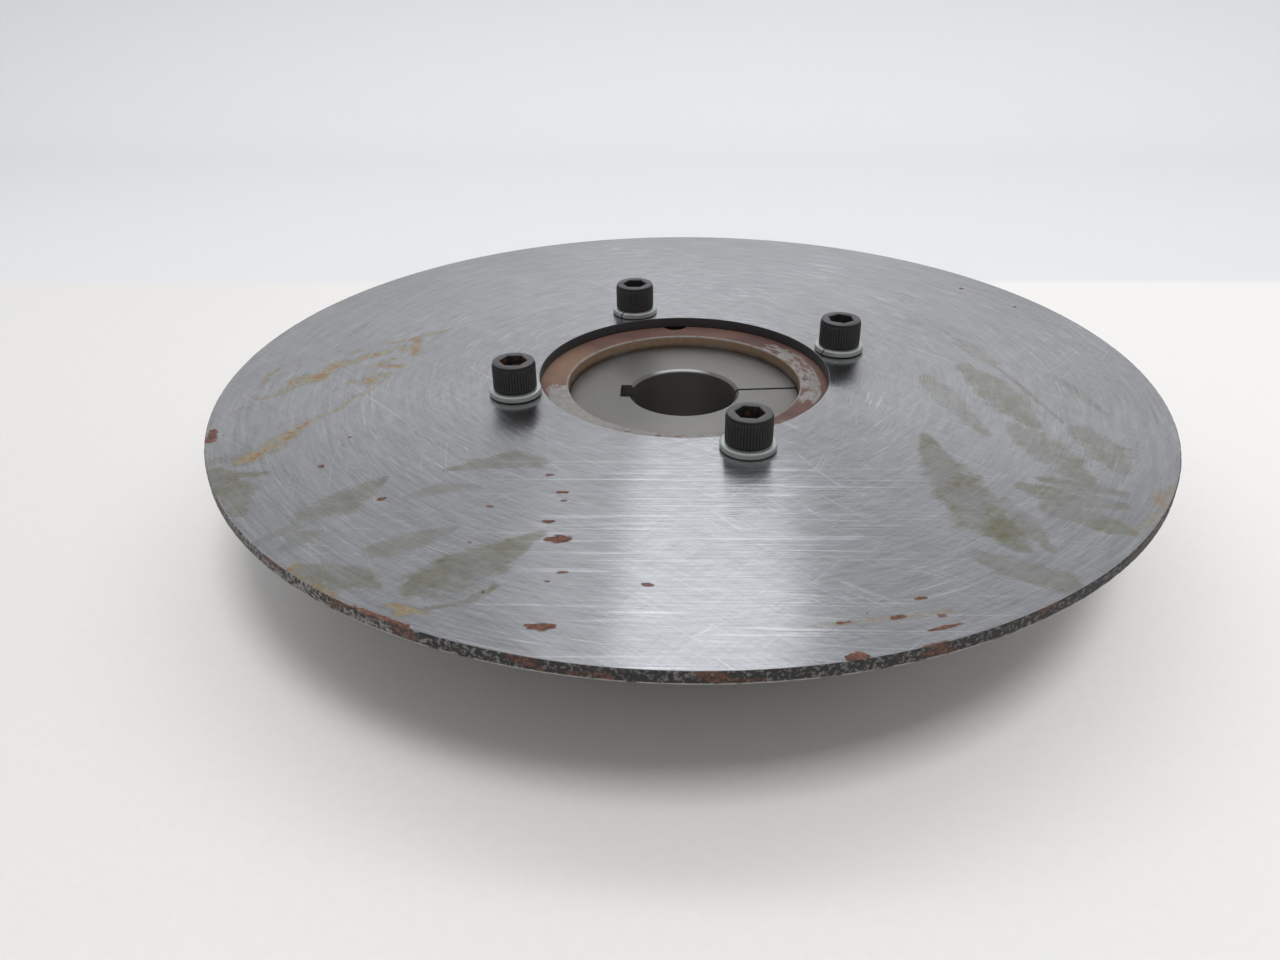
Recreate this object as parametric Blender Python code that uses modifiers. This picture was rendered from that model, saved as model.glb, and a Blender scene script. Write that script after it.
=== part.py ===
"""Bearing-mounted, stationary-field electromagnetic clutch.

A large plain clutch disc is bolted to a flanged hub, which a split taper bushing locks to the
shaft. A flat spring under the disc carries the armature plate. The rotor runs on a ball bearing
on the hub's barrel, and the coil's field shell hangs from a second ball bearing below it.

Units are metres. Z is the shaft's axis, pointing from the field shell to the disc. The origin is
on the axis, in the plane of the field shell's back face.
"""

import math

import bmesh
import bpy
from mathutils import Matrix, Vector

MM = 0.001
OBJECT_NAME = "electromagnetic_clutch"

# Resolution: sides of a full circle.
DISC_SIDES = 72
SHELL_SIDES = 36
BEARING_SIDES = 32
SCREW_SIDES = 16
HOLE_SIDES = 12
BALL_SIDES = 6
BALL_RINGS = 5
MERGE_DISTANCE = 0.001 * MM
SHARP_ANGLE = math.radians(32)

# Clearances.
SEAT_GAP = 0.1 * MM
FIT_GAP = 0.3 * MM
AIR_GAP = 0.4 * MM
CUT_PAST = 2.0 * MM

# Clutch disc, and the ring of screws that holds it to the hub.
DISC_RADIUS = 155.6 * MM
DISC_BORE_RADIUS = 49.5 * MM
DISC_THICKNESS = 3.7 * MM
DISC_TOP = 53.0 * MM
DISC_BOTTOM = DISC_TOP - DISC_THICKNESS
SCREW_CIRCLE_RADIUS = 58.75 * MM
SCREW_START_ANGLE = math.radians(19.3)
SCREW_COUNT = 4
SCREW_ANGLES = [SCREW_START_ANGLE + math.tau * i / SCREW_COUNT for i in range(SCREW_COUNT)]

# Disc screws: 3/8 inch socket head cap screws, 5/8 inch long, and their lock washers.
SCREW_HEAD_RADIUS = 7.15 * MM
SCREW_HEAD_HEIGHT = 9.4 * MM
SCREW_SHANK_RADIUS = 4.6 * MM
SCREW_LENGTH = 15.9 * MM
SCREW_CHAMFER = 0.6 * MM
SOCKET_CORNER_RADIUS = 4.58 * MM
SOCKET_DEPTH = 5.0 * MM
SOCKET_ANGLES = [math.radians(a) for a in (35, 0, 3, -8)]
CLEARANCE_HOLE_RADIUS = 5.2 * MM
TAPPED_HOLE_RADIUS = 4.9 * MM
TAPPED_HOLE_BOTTOM = 38.0 * MM
WASHER_RADIUS = 8.6 * MM
WASHER_BORE_RADIUS = 5.0 * MM
WASHER_THICKNESS = 2.2 * MM
WASHER_SPLIT_WIDTH = 0.9 * MM
WASHER_SPLIT_LEAN = math.radians(25)
WASHER_SPLIT_ANGLES = [math.radians(a) for a in (222, 236, 150, 40)]

# Hub: tapered bore, flange for the disc screws, barrel for the bearings.
HUB_BOTTOM = 0.55 * MM
HUB_TOP = DISC_BOTTOM - SEAT_GAP
PILOT_RADIUS = 52.5 * MM
FLANGE_RADIUS = 69.0 * MM
FLANGE_TOP = 48.0 * MM
FLANGE_BOTTOM = 35.6 * MM
SHOULDER_RADIUS = 57.3 * MM
SHOULDER_BOTTOM = 31.2 * MM
BARREL_RADIUS = 53.8 * MM
BARREL_CHAMFER = 0.75 * MM
MOUTH_CHAMFER = 0.5 * MM
PULLER_HOLE_RADIUS = 4.75 * MM
PULLER_CIRCLE_RADIUS = 51.3 * MM
PULLER_HOLE_BOTTOM = 39.0 * MM
PULLER_ANGLES = [math.radians(94.2 + 120 * i) for i in range(3)]

# Split taper bushing: 1-7/16 inch bore, 3/8 inch key-seat, tapered 4 degrees a side.
BUSHING_BOTTOM = HUB_BOTTOM
BUSHING_TOP = BUSHING_BOTTOM + 44.45 * MM
BUSHING_LARGE_RADIUS = 42.85 * MM
BUSHING_SMALL_RADIUS = 39.75 * MM
TAPER_GAP = 0.2 * MM
SHAFT_RADIUS = 18.25 * MM
BUSHING_BORE_CHAMFER = 1.0 * MM
BUSHING_EDGE_CHAMFER = 0.5 * MM
KEY_SEAT_WIDTH = 9.5 * MM
KEY_SEAT_REACH = 22.0 * MM
KEY_SEAT_ANGLE = math.radians(180)
SLIT_WIDTH = 1.3 * MM
SLIT_ANGLE = math.radians(5)
SET_SCREW_RADIUS = 6.2 * MM
SET_SCREW_HOLE_RADIUS = 6.6 * MM
SET_SCREW_CIRCLE_RADIUS = 42.4 * MM
SET_SCREW_BOTTOM = 1.3 * MM
SET_SCREW_LENGTH = 22.2 * MM
SET_SCREW_HOLE_TOP = 24.0 * MM
SET_SCREW_SOCKET_RADIUS = 3.6 * MM
SET_SCREW_SOCKET_DEPTH = 6.0 * MM
SET_SCREW_ANGLES = [SLIT_ANGLE + math.radians(a) for a in (90, 270)]
JACK_HOLE_ANGLE = SLIT_ANGLE + math.radians(180)

# Two like thin-section ball bearings: 4-1/4 inch bore, 5 inch outside, 3/8 inch wide.
BEARING_WIDTH = 9.5 * MM
BEARING_BORE_RADIUS = 54.25 * MM
INNER_RACE_RADIUS = 57.5 * MM
OUTER_RACE_RADIUS = 60.1 * MM
BEARING_RADIUS = 63.4 * MM
BALL_PITCH_RADIUS = 58.8 * MM
BALL_RADIUS = 2.3 * MM
BALL_COUNT = 12
GROOVE_RADIUS = 2.75 * MM
GROOVE_STEPS = 3
CAGE_INNER_RADIUS = 58.05 * MM
CAGE_OUTER_RADIUS = 59.45 * MM
CAGE_HALF_WIDTH = 3.3 * MM
SEAL_INNER_RADIUS = 58.0 * MM
SEAL_OUTER_RADIUS = 59.75 * MM
SEAL_INNER_FACE = 3.75 * MM
SEAL_OUTER_FACE = 4.55 * MM
FIELD_BEARING_BOTTOM = 6.6 * MM
ROTOR_BEARING_BOTTOM = 21.4 * MM
HOUSING_RADIUS = 63.8 * MM
LIP_RADIUS = 61.2 * MM
SPACER_RADIUS = 57.2 * MM

# Retaining rings, and the grooves that hold them.
RING_THICKNESS = 2.0 * MM
RING_GROOVE_SLACK = 0.2 * MM
RING_GAP_WIDTH = 12.0 * MM
HUB_RING_BOTTOM = 4.3 * MM
HUB_RING_INNER_RADIUS = 52.1 * MM
HUB_RING_OUTER_RADIUS = 57.2 * MM
HUB_GROOVE_RADIUS = 51.8 * MM
HOUSING_RING_INNER_RADIUS = 61.9 * MM
HOUSING_RING_OUTER_RADIUS = 65.9 * MM
HOUSING_GROOVE_RADIUS = 66.2 * MM
FIELD_RING_BOTTOM = 4.3 * MM
ROTOR_RING_BOTTOM = 31.2 * MM

# Armature plate, its flat spring, and the rivets that join them.
ARMATURE_TOP = 48.0 * MM
ARMATURE_THICKNESS = 7.0 * MM
ARMATURE_BOTTOM = ARMATURE_TOP - ARMATURE_THICKNESS
ARMATURE_INNER_RADIUS = 74.0 * MM
ARMATURE_OUTER_RADIUS = 107.0 * MM
SPRING_BOTTOM = ARMATURE_TOP + SEAT_GAP
SPRING_TOP = DISC_BOTTOM - SEAT_GAP
SPRING_INNER_NEAR = 53.0 * MM
SPRING_INNER_FAR = 67.0 * MM
SPRING_OUTER_NEAR = 66.0 * MM
SPRING_OUTER_FAR = 86.0 * MM
SPRING_STEPS = 64
RIVET_CIRCLE_RADIUS = 80.0 * MM
RIVET_ANGLES = [a + math.radians(45) for a in SCREW_ANGLES]
RIVET_SHANK_RADIUS = 2.9 * MM
RIVET_HEAD_RADIUS = 4.6 * MM
RIVET_HEAD_HEIGHT = 1.7 * MM
RIVET_INSET = 0.3 * MM
RIVET_HOLE_RADIUS = 3.2 * MM
RIVET_SINK_RADIUS = 4.9 * MM

# Rotor: pole face with its friction lining, outer wall, and a flange for a pulley.
ROTOR_TOP = ARMATURE_BOTTOM - AIR_GAP
ROTOR_BORE_RADIUS = 70.3 * MM
ROTOR_BORE_STEP = 35.2 * MM
ROTOR_BOSS_RADIUS = 71.5 * MM
ROTOR_BOSS_BOTTOM = 18.9 * MM
ROTOR_LIP_TOP = ROTOR_BEARING_BOTTOM - FIT_GAP
ROTOR_WEB_BOTTOM = 32.0 * MM
ROTOR_WALL_INNER_RADIUS = 102.0 * MM
ROTOR_WALL_RADIUS = 108.0 * MM
ROTOR_WALL_BOTTOM = 15.0 * MM
ROTOR_FLANGE_RADIUS = 120.0 * MM
ROTOR_FLANGE_TOP = 38.0 * MM
ROTOR_FLANGE_BOTTOM = 30.0 * MM
PULLEY_HOLE_RADIUS = 3.4 * MM
PULLEY_CIRCLE_RADIUS = 114.0 * MM
PULLEY_HOLE_COUNT = 6
LINING_GROOVE_INNER = 84.5 * MM
LINING_GROOVE_OUTER = 93.5 * MM
LINING_GROOVE_BOTTOM = 37.0 * MM
FLUX_SLOT_INNER = 86.5 * MM
FLUX_SLOT_OUTER = 91.5 * MM
FLUX_SLOT_COUNT = 3
FLUX_SLOT_SPAN = math.radians(80)
FLUX_SLOT_STEPS = 6

# Field shell, and the coil in its trough.
SHELL_RADIUS = 101.0 * MM
SHELL_CHAMFER = 3.0 * MM
SHELL_PLATE_TOP = 8.0 * MM
SHELL_POLE_TOP = 30.0 * MM
SHELL_OUTER_POLE_RADIUS = 96.5 * MM
SHELL_INNER_POLE_RADIUS = 77.3 * MM
SHELL_POLE_BORE_RADIUS = 72.3 * MM
SHELL_BLOCK_TOP = 18.2 * MM
SHELL_LIP_BOTTOM = 16.4 * MM
COIL_INNER_RADIUS = 77.7 * MM
COIL_OUTER_RADIUS = 96.1 * MM
BOBBIN_WALL = 1.5 * MM
BOBBIN_TOP = 26.5 * MM
WINDING_OUTER_RADIUS = 94.5 * MM
POTTING_TOP = 29.5 * MM

# Torque arm, let into the field shell's back face.
ARM_WIDTH = 32.0 * MM
ARM_BOTTOM = 0.4 * MM
ARM_TOP = 3.4 * MM
ARM_START = 80.0 * MM
ARM_END = 134.0 * MM
ARM_SLOT_START = 112.0 * MM
ARM_SLOT_END = 124.0 * MM
ARM_SLOT_RADIUS = 4.2 * MM
ARM_ARC_STEPS = 8
ARM_SCREW_Y = 89.0 * MM
ARM_SCREW_X = 9.0 * MM
ARM_SCREW_HEAD_RADIUS = 4.6 * MM
ARM_SCREW_SHANK_RADIUS = 2.3 * MM
ARM_SCREW_TOP = 7.0 * MM
ARM_SCREW_BOTTOM = 0.6 * MM
ARM_SCREW_CONE_TOP = 2.9 * MM
ARM_SCREW_SOCKET_RADIUS = 1.7 * MM
ARM_SCREW_SOCKET_DEPTH = 1.4 * MM
ARM_HOLE_TOP = 7.4 * MM

# Terminal block on the field shell's side.
TERMINAL_ANGLE = math.radians(125)
TERMINAL_WIDTH = 30.0 * MM
TERMINAL_BOTTOM = 1.5 * MM
TERMINAL_TOP = 13.0 * MM
TERMINAL_INNER_FACE = 95.0 * MM
TERMINAL_OUTER_FACE = 114.5 * MM
TERMINAL_SCREW_SPACING = 14.0 * MM
TERMINAL_SCREW_HEAD_RADIUS = 3.3 * MM
TERMINAL_SCREW_HEAD_HEIGHT = 2.0 * MM
TERMINAL_SCREW_SHANK_RADIUS = 1.5 * MM
TERMINAL_SCREW_LENGTH = 6.0 * MM
TERMINAL_SCREW_HOLE_RADIUS = 1.8 * MM
TERMINAL_SCREW_HOLE_DEPTH = 7.0 * MM
DRIVE_SLOT_WIDTH = 0.9 * MM
DRIVE_SLOT_DEPTH = 1.0 * MM

# Material name: base colour, roughness, metallic.
MATERIALS = {
    "ground_steel": ((0.42, 0.43, 0.46), 0.35, 1.0),
    "cast_iron": ((0.30, 0.20, 0.16), 0.65, 0.6),
    "bushing_steel": ((0.40, 0.39, 0.37), 0.45, 0.9),
    "black_oxide": ((0.03, 0.03, 0.032), 0.5, 0.7),
    "zinc_plate": ((0.52, 0.55, 0.52), 0.35, 0.9),
    "spring_steel": ((0.22, 0.23, 0.26), 0.35, 1.0),
    "machined_steel": ((0.36, 0.36, 0.36), 0.4, 1.0),
    "friction_lining": ((0.12, 0.10, 0.08), 0.9, 0.0),
    "bearing_steel": ((0.60, 0.61, 0.63), 0.2, 1.0),
    "bearing_cage": ((0.55, 0.45, 0.25), 0.4, 0.9),
    "seal_rubber": ((0.02, 0.02, 0.02), 0.7, 0.0),
    "bobbin_plastic": ((0.10, 0.10, 0.11), 0.5, 0.0),
    "copper": ((0.60, 0.28, 0.14), 0.35, 1.0),
    "potting": ((0.05, 0.03, 0.025), 0.5, 0.0),
}


def clear_scene():
    """Removes every object and collection that the file opened with."""
    for item in list(bpy.data.objects):
        bpy.data.objects.remove(item)
    for group in list(bpy.data.collections):
        bpy.data.collections.remove(group)


def add_collection(name):
    """A new collection in the scene."""
    group = bpy.data.collections.new(name)
    bpy.context.scene.collection.children.link(group)
    return group


def add_material(name):
    """The Principled BSDF material that MATERIALS describes under this name."""
    color, roughness, metallic = MATERIALS[name]
    material = bpy.data.materials.get(name)
    if material is None:
        material = bpy.data.materials.new(name)
        material.use_nodes = True
        shader = material.node_tree.nodes["Principled BSDF"]
        shader.inputs["Base Color"].default_value = (*color, 1.0)
        shader.inputs["Roughness"].default_value = roughness
        shader.inputs["Metallic"].default_value = metallic
    return material


def polar(radius, angle, z=0.0):
    """The point at this radius and angle about the Z axis."""
    return Vector((radius * math.cos(angle), radius * math.sin(angle), z))


def add_object(name, mesh, group):
    """Links a new object that shows this mesh."""
    item = bpy.data.objects.new(name, mesh)
    group.objects.link(item)
    return item


def turn(name, profile, sides, group, closed=True):
    """A profile of (radius, z) points turned about the Z axis. It runs down the outer side."""
    mesh = bpy.data.meshes.new(name)
    edges = [(i, i + 1) for i in range(len(profile) - 1)]
    if closed:
        edges.append((len(profile) - 1, 0))
    mesh.from_pydata([(radius, 0.0, z) for radius, z in profile], edges, [])
    item = add_object(name, mesh, group)
    screw = item.modifiers.new("turn", "SCREW")
    screw.axis = "Z"
    screw.angle = math.tau
    screw.steps = sides
    screw.render_steps = sides
    screw.use_merge_vertices = True
    screw.merge_threshold = MERGE_DISTANCE
    return item


def turn_ring(name, inner, outer, bottom, top, sides, group):
    """A plain ring of rectangular section."""
    profile = [(outer, top), (outer, bottom), (inner, bottom), (inner, top)]
    return turn(name, profile, sides, group)


def mark_cutter(item):
    """Shows a cutter as wires, and keeps it out of renders."""
    item.hide_render = True
    item.display_type = "WIRE"
    return item


def cylinder_cutter(name, radius, bottom, top, places, sides, group):
    """Upright cylinders at these (x, y) places, in one cutter."""
    shape = bmesh.new()
    for place in places:
        centre = Vector((place[0], place[1], (bottom + top) / 2))
        bmesh.ops.create_cone(
            shape,
            cap_ends=True,
            segments=sides,
            radius1=radius,
            radius2=radius,
            depth=top - bottom,
            matrix=Matrix.Translation(centre),
        )
    mesh = bpy.data.meshes.new(name)
    shape.to_mesh(mesh)
    shape.free()
    return mark_cutter(add_object(name, mesh, group))


def box_cutter(name, low, high, group, turned=0.0, lean=0.0):
    """A box from its low to its high corner, leaned about X through its centre, then turned about Z."""
    low = Vector(low)
    high = Vector(high)
    centre = (low + high) / 2
    size = Matrix.Diagonal((*(high - low), 1.0))
    place = Matrix.Translation(centre) @ Matrix.Rotation(lean, 4, "X") @ size
    shape = bmesh.new()
    bmesh.ops.create_cube(shape, size=1.0, matrix=Matrix.Rotation(turned, 4, "Z") @ place)
    mesh = bpy.data.meshes.new(name)
    shape.to_mesh(mesh)
    shape.free()
    return mark_cutter(add_object(name, mesh, group))


def outline_solid(name, loops, bottom, top, group):
    """A flat plate between two heights. The first loop of (x, y) points is its edge, the others are holes."""
    curve = bpy.data.curves.new(name, "CURVE")
    curve.dimensions = "2D"
    curve.fill_mode = "BOTH"
    curve.extrude = (top - bottom) / 2
    for loop in loops:
        spline = curve.splines.new("POLY")
        spline.points.add(len(loop) - 1)
        for point, place in zip(spline.points, loop):
            point.co = (place[0], place[1], 0.0, 1.0)
        spline.use_cyclic_u = True
    guide = add_object(name + "_outline", curve, group)
    guide.location.z = (bottom + top) / 2
    bpy.context.view_layer.update()
    evaluated = guide.evaluated_get(bpy.context.evaluated_depsgraph_get())
    mesh = bpy.data.meshes.new_from_object(evaluated)
    mesh.transform(guide.matrix_world)
    bpy.data.objects.remove(guide)
    shape = bmesh.new()
    shape.from_mesh(mesh)
    bmesh.ops.remove_doubles(shape, verts=shape.verts, dist=MERGE_DISTANCE)
    bmesh.ops.recalc_face_normals(shape, faces=shape.faces)
    shape.to_mesh(mesh)
    shape.free()
    return add_object(name, mesh, group)


def circle_loop(centre, radius, sides):
    """The (x, y) points of a circle."""
    steps = [math.tau * i / sides for i in range(sides)]
    return [(centre[0] + radius * math.cos(a), centre[1] + radius * math.sin(a)) for a in steps]


def arc_points(centre, radius, start, stop, steps):
    """The (x, y) points of an arc, both ends included."""
    angles = [start + (stop - start) * i / steps for i in range(steps + 1)]
    return [(centre[0] + radius * math.cos(a), centre[1] + radius * math.sin(a)) for a in angles]


def combine(item, other, operation="DIFFERENCE"):
    """Cuts the item with another object, or joins the two."""
    modifier = item.modifiers.new(operation.lower(), "BOOLEAN")
    modifier.operation = operation
    modifier.solver = "EXACT"
    modifier.object = other


def settle(item, material, parent):
    """Applies the item's modifiers, then gives it its material, smooth shading and parent."""
    bpy.context.view_layer.update()
    evaluated = item.evaluated_get(bpy.context.evaluated_depsgraph_get())
    mesh = bpy.data.meshes.new_from_object(evaluated)
    item.modifiers.clear()
    item.data = mesh
    mesh.name = item.name
    mesh.materials.clear()
    mesh.materials.append(add_material(material))
    mesh.shade_smooth()
    mesh.set_sharp_from_angle(angle=SHARP_ANGLE)
    item.parent = parent
    return item


def add_bodies(parts):
    """One empty on the shaft's axis for each group of pieces that moves as one."""
    names = ("field", "hub", "armature", "rotor", "field_cage", "rotor_cage")
    bodies = {}
    for name in names:
        empty = bpy.data.objects.new("body_" + name, None)
        parts.objects.link(empty)
        bodies[name] = empty
    return bodies


def make_clutch_disc(parts, cutters, body):
    """The plain disc, with its four screw holes."""
    disc = turn_ring(
        "clutch_disc", DISC_BORE_RADIUS, DISC_RADIUS, DISC_BOTTOM, DISC_TOP, DISC_SIDES, parts
    )
    holes = cylinder_cutter(
        "disc_screw_holes",
        CLEARANCE_HOLE_RADIUS,
        DISC_BOTTOM - CUT_PAST,
        DISC_TOP + CUT_PAST,
        [polar(SCREW_CIRCLE_RADIUS, a) for a in SCREW_ANGLES],
        HOLE_SIDES,
        cutters,
    )
    combine(disc, holes)
    settle(disc, "ground_steel", body)


def set_screw_hole_cutter(name, cutters):
    """The half holes on the joint between the bushing and the hub: two for screws, one for jacking."""
    return cylinder_cutter(
        name,
        SET_SCREW_HOLE_RADIUS,
        BUSHING_BOTTOM - CUT_PAST,
        SET_SCREW_HOLE_TOP,
        [polar(SET_SCREW_CIRCLE_RADIUS, a) for a in (*SET_SCREW_ANGLES, JACK_HOLE_ANGLE)],
        HOLE_SIDES,
        cutters,
    )


def make_hub(parts, cutters, body):
    """The hub, turned, then drilled for the disc screws, a puller and the bushing's screws."""
    bore_bottom = BUSHING_LARGE_RADIUS + TAPER_GAP
    bore_top = BUSHING_SMALL_RADIUS + TAPER_GAP
    groove_top = HUB_RING_BOTTOM + RING_THICKNESS + RING_GROOVE_SLACK
    groove_bottom = HUB_RING_BOTTOM - RING_GROOVE_SLACK
    profile = [
        (PILOT_RADIUS, HUB_TOP),
        (PILOT_RADIUS, FLANGE_TOP),
        (FLANGE_RADIUS, FLANGE_TOP),
        (FLANGE_RADIUS, FLANGE_BOTTOM),
        (SHOULDER_RADIUS, FLANGE_BOTTOM),
        (SHOULDER_RADIUS, SHOULDER_BOTTOM),
        (BARREL_RADIUS, SHOULDER_BOTTOM),
        (BARREL_RADIUS, groove_top),
        (HUB_GROOVE_RADIUS, groove_top),
        (HUB_GROOVE_RADIUS, groove_bottom),
        (BARREL_RADIUS, groove_bottom),
        (BARREL_RADIUS, HUB_BOTTOM + BARREL_CHAMFER),
        (BARREL_RADIUS - BARREL_CHAMFER, HUB_BOTTOM),
        (bore_bottom, HUB_BOTTOM),
        (bore_top, BUSHING_TOP),
        (bore_top, HUB_TOP - MOUTH_CHAMFER),
        (bore_top + MOUTH_CHAMFER, HUB_TOP),
    ]
    hub = turn("hub", profile, SHELL_SIDES, parts)
    tapped = cylinder_cutter(
        "hub_tapped_holes",
        TAPPED_HOLE_RADIUS,
        TAPPED_HOLE_BOTTOM,
        HUB_TOP + CUT_PAST,
        [polar(SCREW_CIRCLE_RADIUS, a) for a in SCREW_ANGLES],
        HOLE_SIDES,
        cutters,
    )
    puller = cylinder_cutter(
        "hub_puller_holes",
        PULLER_HOLE_RADIUS,
        PULLER_HOLE_BOTTOM,
        HUB_TOP + CUT_PAST,
        [polar(PULLER_CIRCLE_RADIUS, a) for a in PULLER_ANGLES],
        HOLE_SIDES,
        cutters,
    )
    combine(hub, tapped)
    combine(hub, puller)
    combine(hub, set_screw_hole_cutter("hub_half_holes", cutters))
    settle(hub, "cast_iron", body)


def make_taper_bushing(parts, cutters, body):
    """The split bushing, with its key-seat, slit and half holes."""
    profile = [
        (BUSHING_SMALL_RADIUS - BUSHING_EDGE_CHAMFER, BUSHING_TOP),
        (BUSHING_SMALL_RADIUS, BUSHING_TOP - BUSHING_EDGE_CHAMFER),
        (BUSHING_LARGE_RADIUS, BUSHING_BOTTOM),
        (SHAFT_RADIUS, BUSHING_BOTTOM),
        (SHAFT_RADIUS, BUSHING_TOP - BUSHING_BORE_CHAMFER),
        (SHAFT_RADIUS + BUSHING_BORE_CHAMFER, BUSHING_TOP),
    ]
    bushing = turn("taper_bushing", profile, SHELL_SIDES, parts)
    low = BUSHING_BOTTOM - CUT_PAST
    high = BUSHING_TOP + CUT_PAST
    key_seat = box_cutter(
        "bushing_key_seat",
        (SHAFT_RADIUS / 2, -KEY_SEAT_WIDTH / 2, low),
        (KEY_SEAT_REACH, KEY_SEAT_WIDTH / 2, high),
        cutters,
        turned=KEY_SEAT_ANGLE,
    )
    slit = box_cutter(
        "bushing_slit",
        (SHAFT_RADIUS / 2, -SLIT_WIDTH / 2, low),
        (BUSHING_LARGE_RADIUS + CUT_PAST, SLIT_WIDTH / 2, high),
        cutters,
        turned=SLIT_ANGLE,
    )
    combine(bushing, key_seat)
    combine(bushing, slit)
    combine(bushing, set_screw_hole_cutter("bushing_half_holes", cutters))
    settle(bushing, "bushing_steel", body)


def make_set_screws(parts, cutters, body):
    """The two socket set screws that draw the bushing into the hub."""
    top = SET_SCREW_BOTTOM + SET_SCREW_LENGTH
    profile = [
        (0.0, top),
        (SET_SCREW_RADIUS - SCREW_CHAMFER, top),
        (SET_SCREW_RADIUS, top - SCREW_CHAMFER),
        (SET_SCREW_RADIUS, SET_SCREW_BOTTOM),
        (0.0, SET_SCREW_BOTTOM),
    ]
    socket = cylinder_cutter(
        "set_screw_socket",
        SET_SCREW_SOCKET_RADIUS,
        SET_SCREW_BOTTOM - CUT_PAST,
        SET_SCREW_BOTTOM + SET_SCREW_SOCKET_DEPTH,
        [(0.0, 0.0)],
        6,
        cutters,
    )
    for number, angle in enumerate(SET_SCREW_ANGLES, start=1):
        screw = turn(f"bushing_set_screw_{number}", profile, SCREW_SIDES, parts, closed=False)
        combine(screw, socket)
        settle(screw, "black_oxide", body)
        screw.location = polar(SET_SCREW_CIRCLE_RADIUS, angle)


def make_disc_screws(parts, cutters, body):
    """The four socket head cap screws, each turned to the angle that its socket stopped at."""
    seat = DISC_TOP + WASHER_THICKNESS + 2 * SEAT_GAP
    top = seat + SCREW_HEAD_HEIGHT
    tip = seat - SCREW_LENGTH
    profile = [
        (0.0, top),
        (SCREW_HEAD_RADIUS - SCREW_CHAMFER, top),
        (SCREW_HEAD_RADIUS, top - SCREW_CHAMFER),
        (SCREW_HEAD_RADIUS, seat),
        (SCREW_SHANK_RADIUS, seat),
        (SCREW_SHANK_RADIUS, tip + SCREW_CHAMFER),
        (SCREW_SHANK_RADIUS - SCREW_CHAMFER, tip),
        (0.0, tip),
    ]
    socket = cylinder_cutter(
        "disc_screw_socket",
        SOCKET_CORNER_RADIUS,
        top - SOCKET_DEPTH,
        top + CUT_PAST,
        [(0.0, 0.0)],
        6,
        cutters,
    )
    socket.rotation_euler.z = math.radians(30)
    places = zip(SCREW_ANGLES, SOCKET_ANGLES)
    for number, (angle, socket_angle) in enumerate(places, start=1):
        screw = turn(f"disc_screw_{number}", profile, SCREW_SIDES, parts, closed=False)
        combine(screw, socket)
        settle(screw, "black_oxide", body)
        screw.location = polar(SCREW_CIRCLE_RADIUS, angle)
        screw.rotation_euler.z = socket_angle


def make_lock_washers(parts, cutters, body):
    """The four split lock washers, pressed flat, with leaning splits."""
    bottom = DISC_TOP + SEAT_GAP
    top = bottom + WASHER_THICKNESS
    split = box_cutter(
        "washer_split",
        (WASHER_BORE_RADIUS / 2, -WASHER_SPLIT_WIDTH / 2, bottom - CUT_PAST),
        (WASHER_RADIUS + CUT_PAST, WASHER_SPLIT_WIDTH / 2, top + CUT_PAST),
        cutters,
        lean=WASHER_SPLIT_LEAN,
    )
    places = zip(SCREW_ANGLES, WASHER_SPLIT_ANGLES)
    for number, (angle, split_angle) in enumerate(places, start=1):
        washer = turn_ring(
            f"lock_washer_{number}", WASHER_BORE_RADIUS, WASHER_RADIUS, bottom, top, SCREW_SIDES, parts
        )
        combine(washer, split)
        settle(washer, "zinc_plate", body)
        washer.location = polar(SCREW_CIRCLE_RADIUS, angle)
        washer.rotation_euler.z = split_angle


def spring_edge(near, far):
    """A wavy closed edge: near the axis at the disc screws, far from it at the rivets."""
    loop = []
    for i in range(SPRING_STEPS):
        angle = math.tau * i / SPRING_STEPS
        wave = math.cos(SCREW_COUNT * (angle - SCREW_START_ANGLE))
        radius = (near + far) / 2 - wave * (far - near) / 2
        loop.append(polar(radius, angle)[:2])
    return loop


def make_armature_spring(parts, body):
    """The flat spring: clamped under the disc at the screws, riveted to the armature between them."""
    loops = [
        spring_edge(SPRING_OUTER_NEAR, SPRING_OUTER_FAR),
        spring_edge(SPRING_INNER_NEAR, SPRING_INNER_FAR),
    ]
    for angle in SCREW_ANGLES:
        loops.append(circle_loop(polar(SCREW_CIRCLE_RADIUS, angle), CLEARANCE_HOLE_RADIUS, HOLE_SIDES))
    for angle in RIVET_ANGLES:
        loops.append(circle_loop(polar(RIVET_CIRCLE_RADIUS, angle), RIVET_HOLE_RADIUS, HOLE_SIDES))
    spring = outline_solid("armature_spring", loops, SPRING_BOTTOM, SPRING_TOP, parts)
    settle(spring, "spring_steel", body)


def make_armature_plate(parts, cutters, body):
    """The armature ring, with stepped holes for the rivets."""
    plate = turn_ring(
        "armature_plate",
        ARMATURE_INNER_RADIUS,
        ARMATURE_OUTER_RADIUS,
        ARMATURE_BOTTOM,
        ARMATURE_TOP,
        SHELL_SIDES,
        parts,
    )
    places = [polar(RIVET_CIRCLE_RADIUS, a) for a in RIVET_ANGLES]
    sink_top = ARMATURE_BOTTOM + RIVET_INSET + RIVET_HEAD_HEIGHT + FIT_GAP
    holes = cylinder_cutter(
        "armature_rivet_holes",
        RIVET_HOLE_RADIUS,
        ARMATURE_BOTTOM - CUT_PAST,
        ARMATURE_TOP + CUT_PAST,
        places,
        HOLE_SIDES,
        cutters,
    )
    sinks = cylinder_cutter(
        "armature_rivet_sinks",
        RIVET_SINK_RADIUS,
        ARMATURE_BOTTOM - CUT_PAST,
        sink_top,
        places,
        HOLE_SIDES,
        cutters,
    )
    combine(plate, holes)
    combine(plate, sinks)
    settle(plate, "machined_steel", body)


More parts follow.
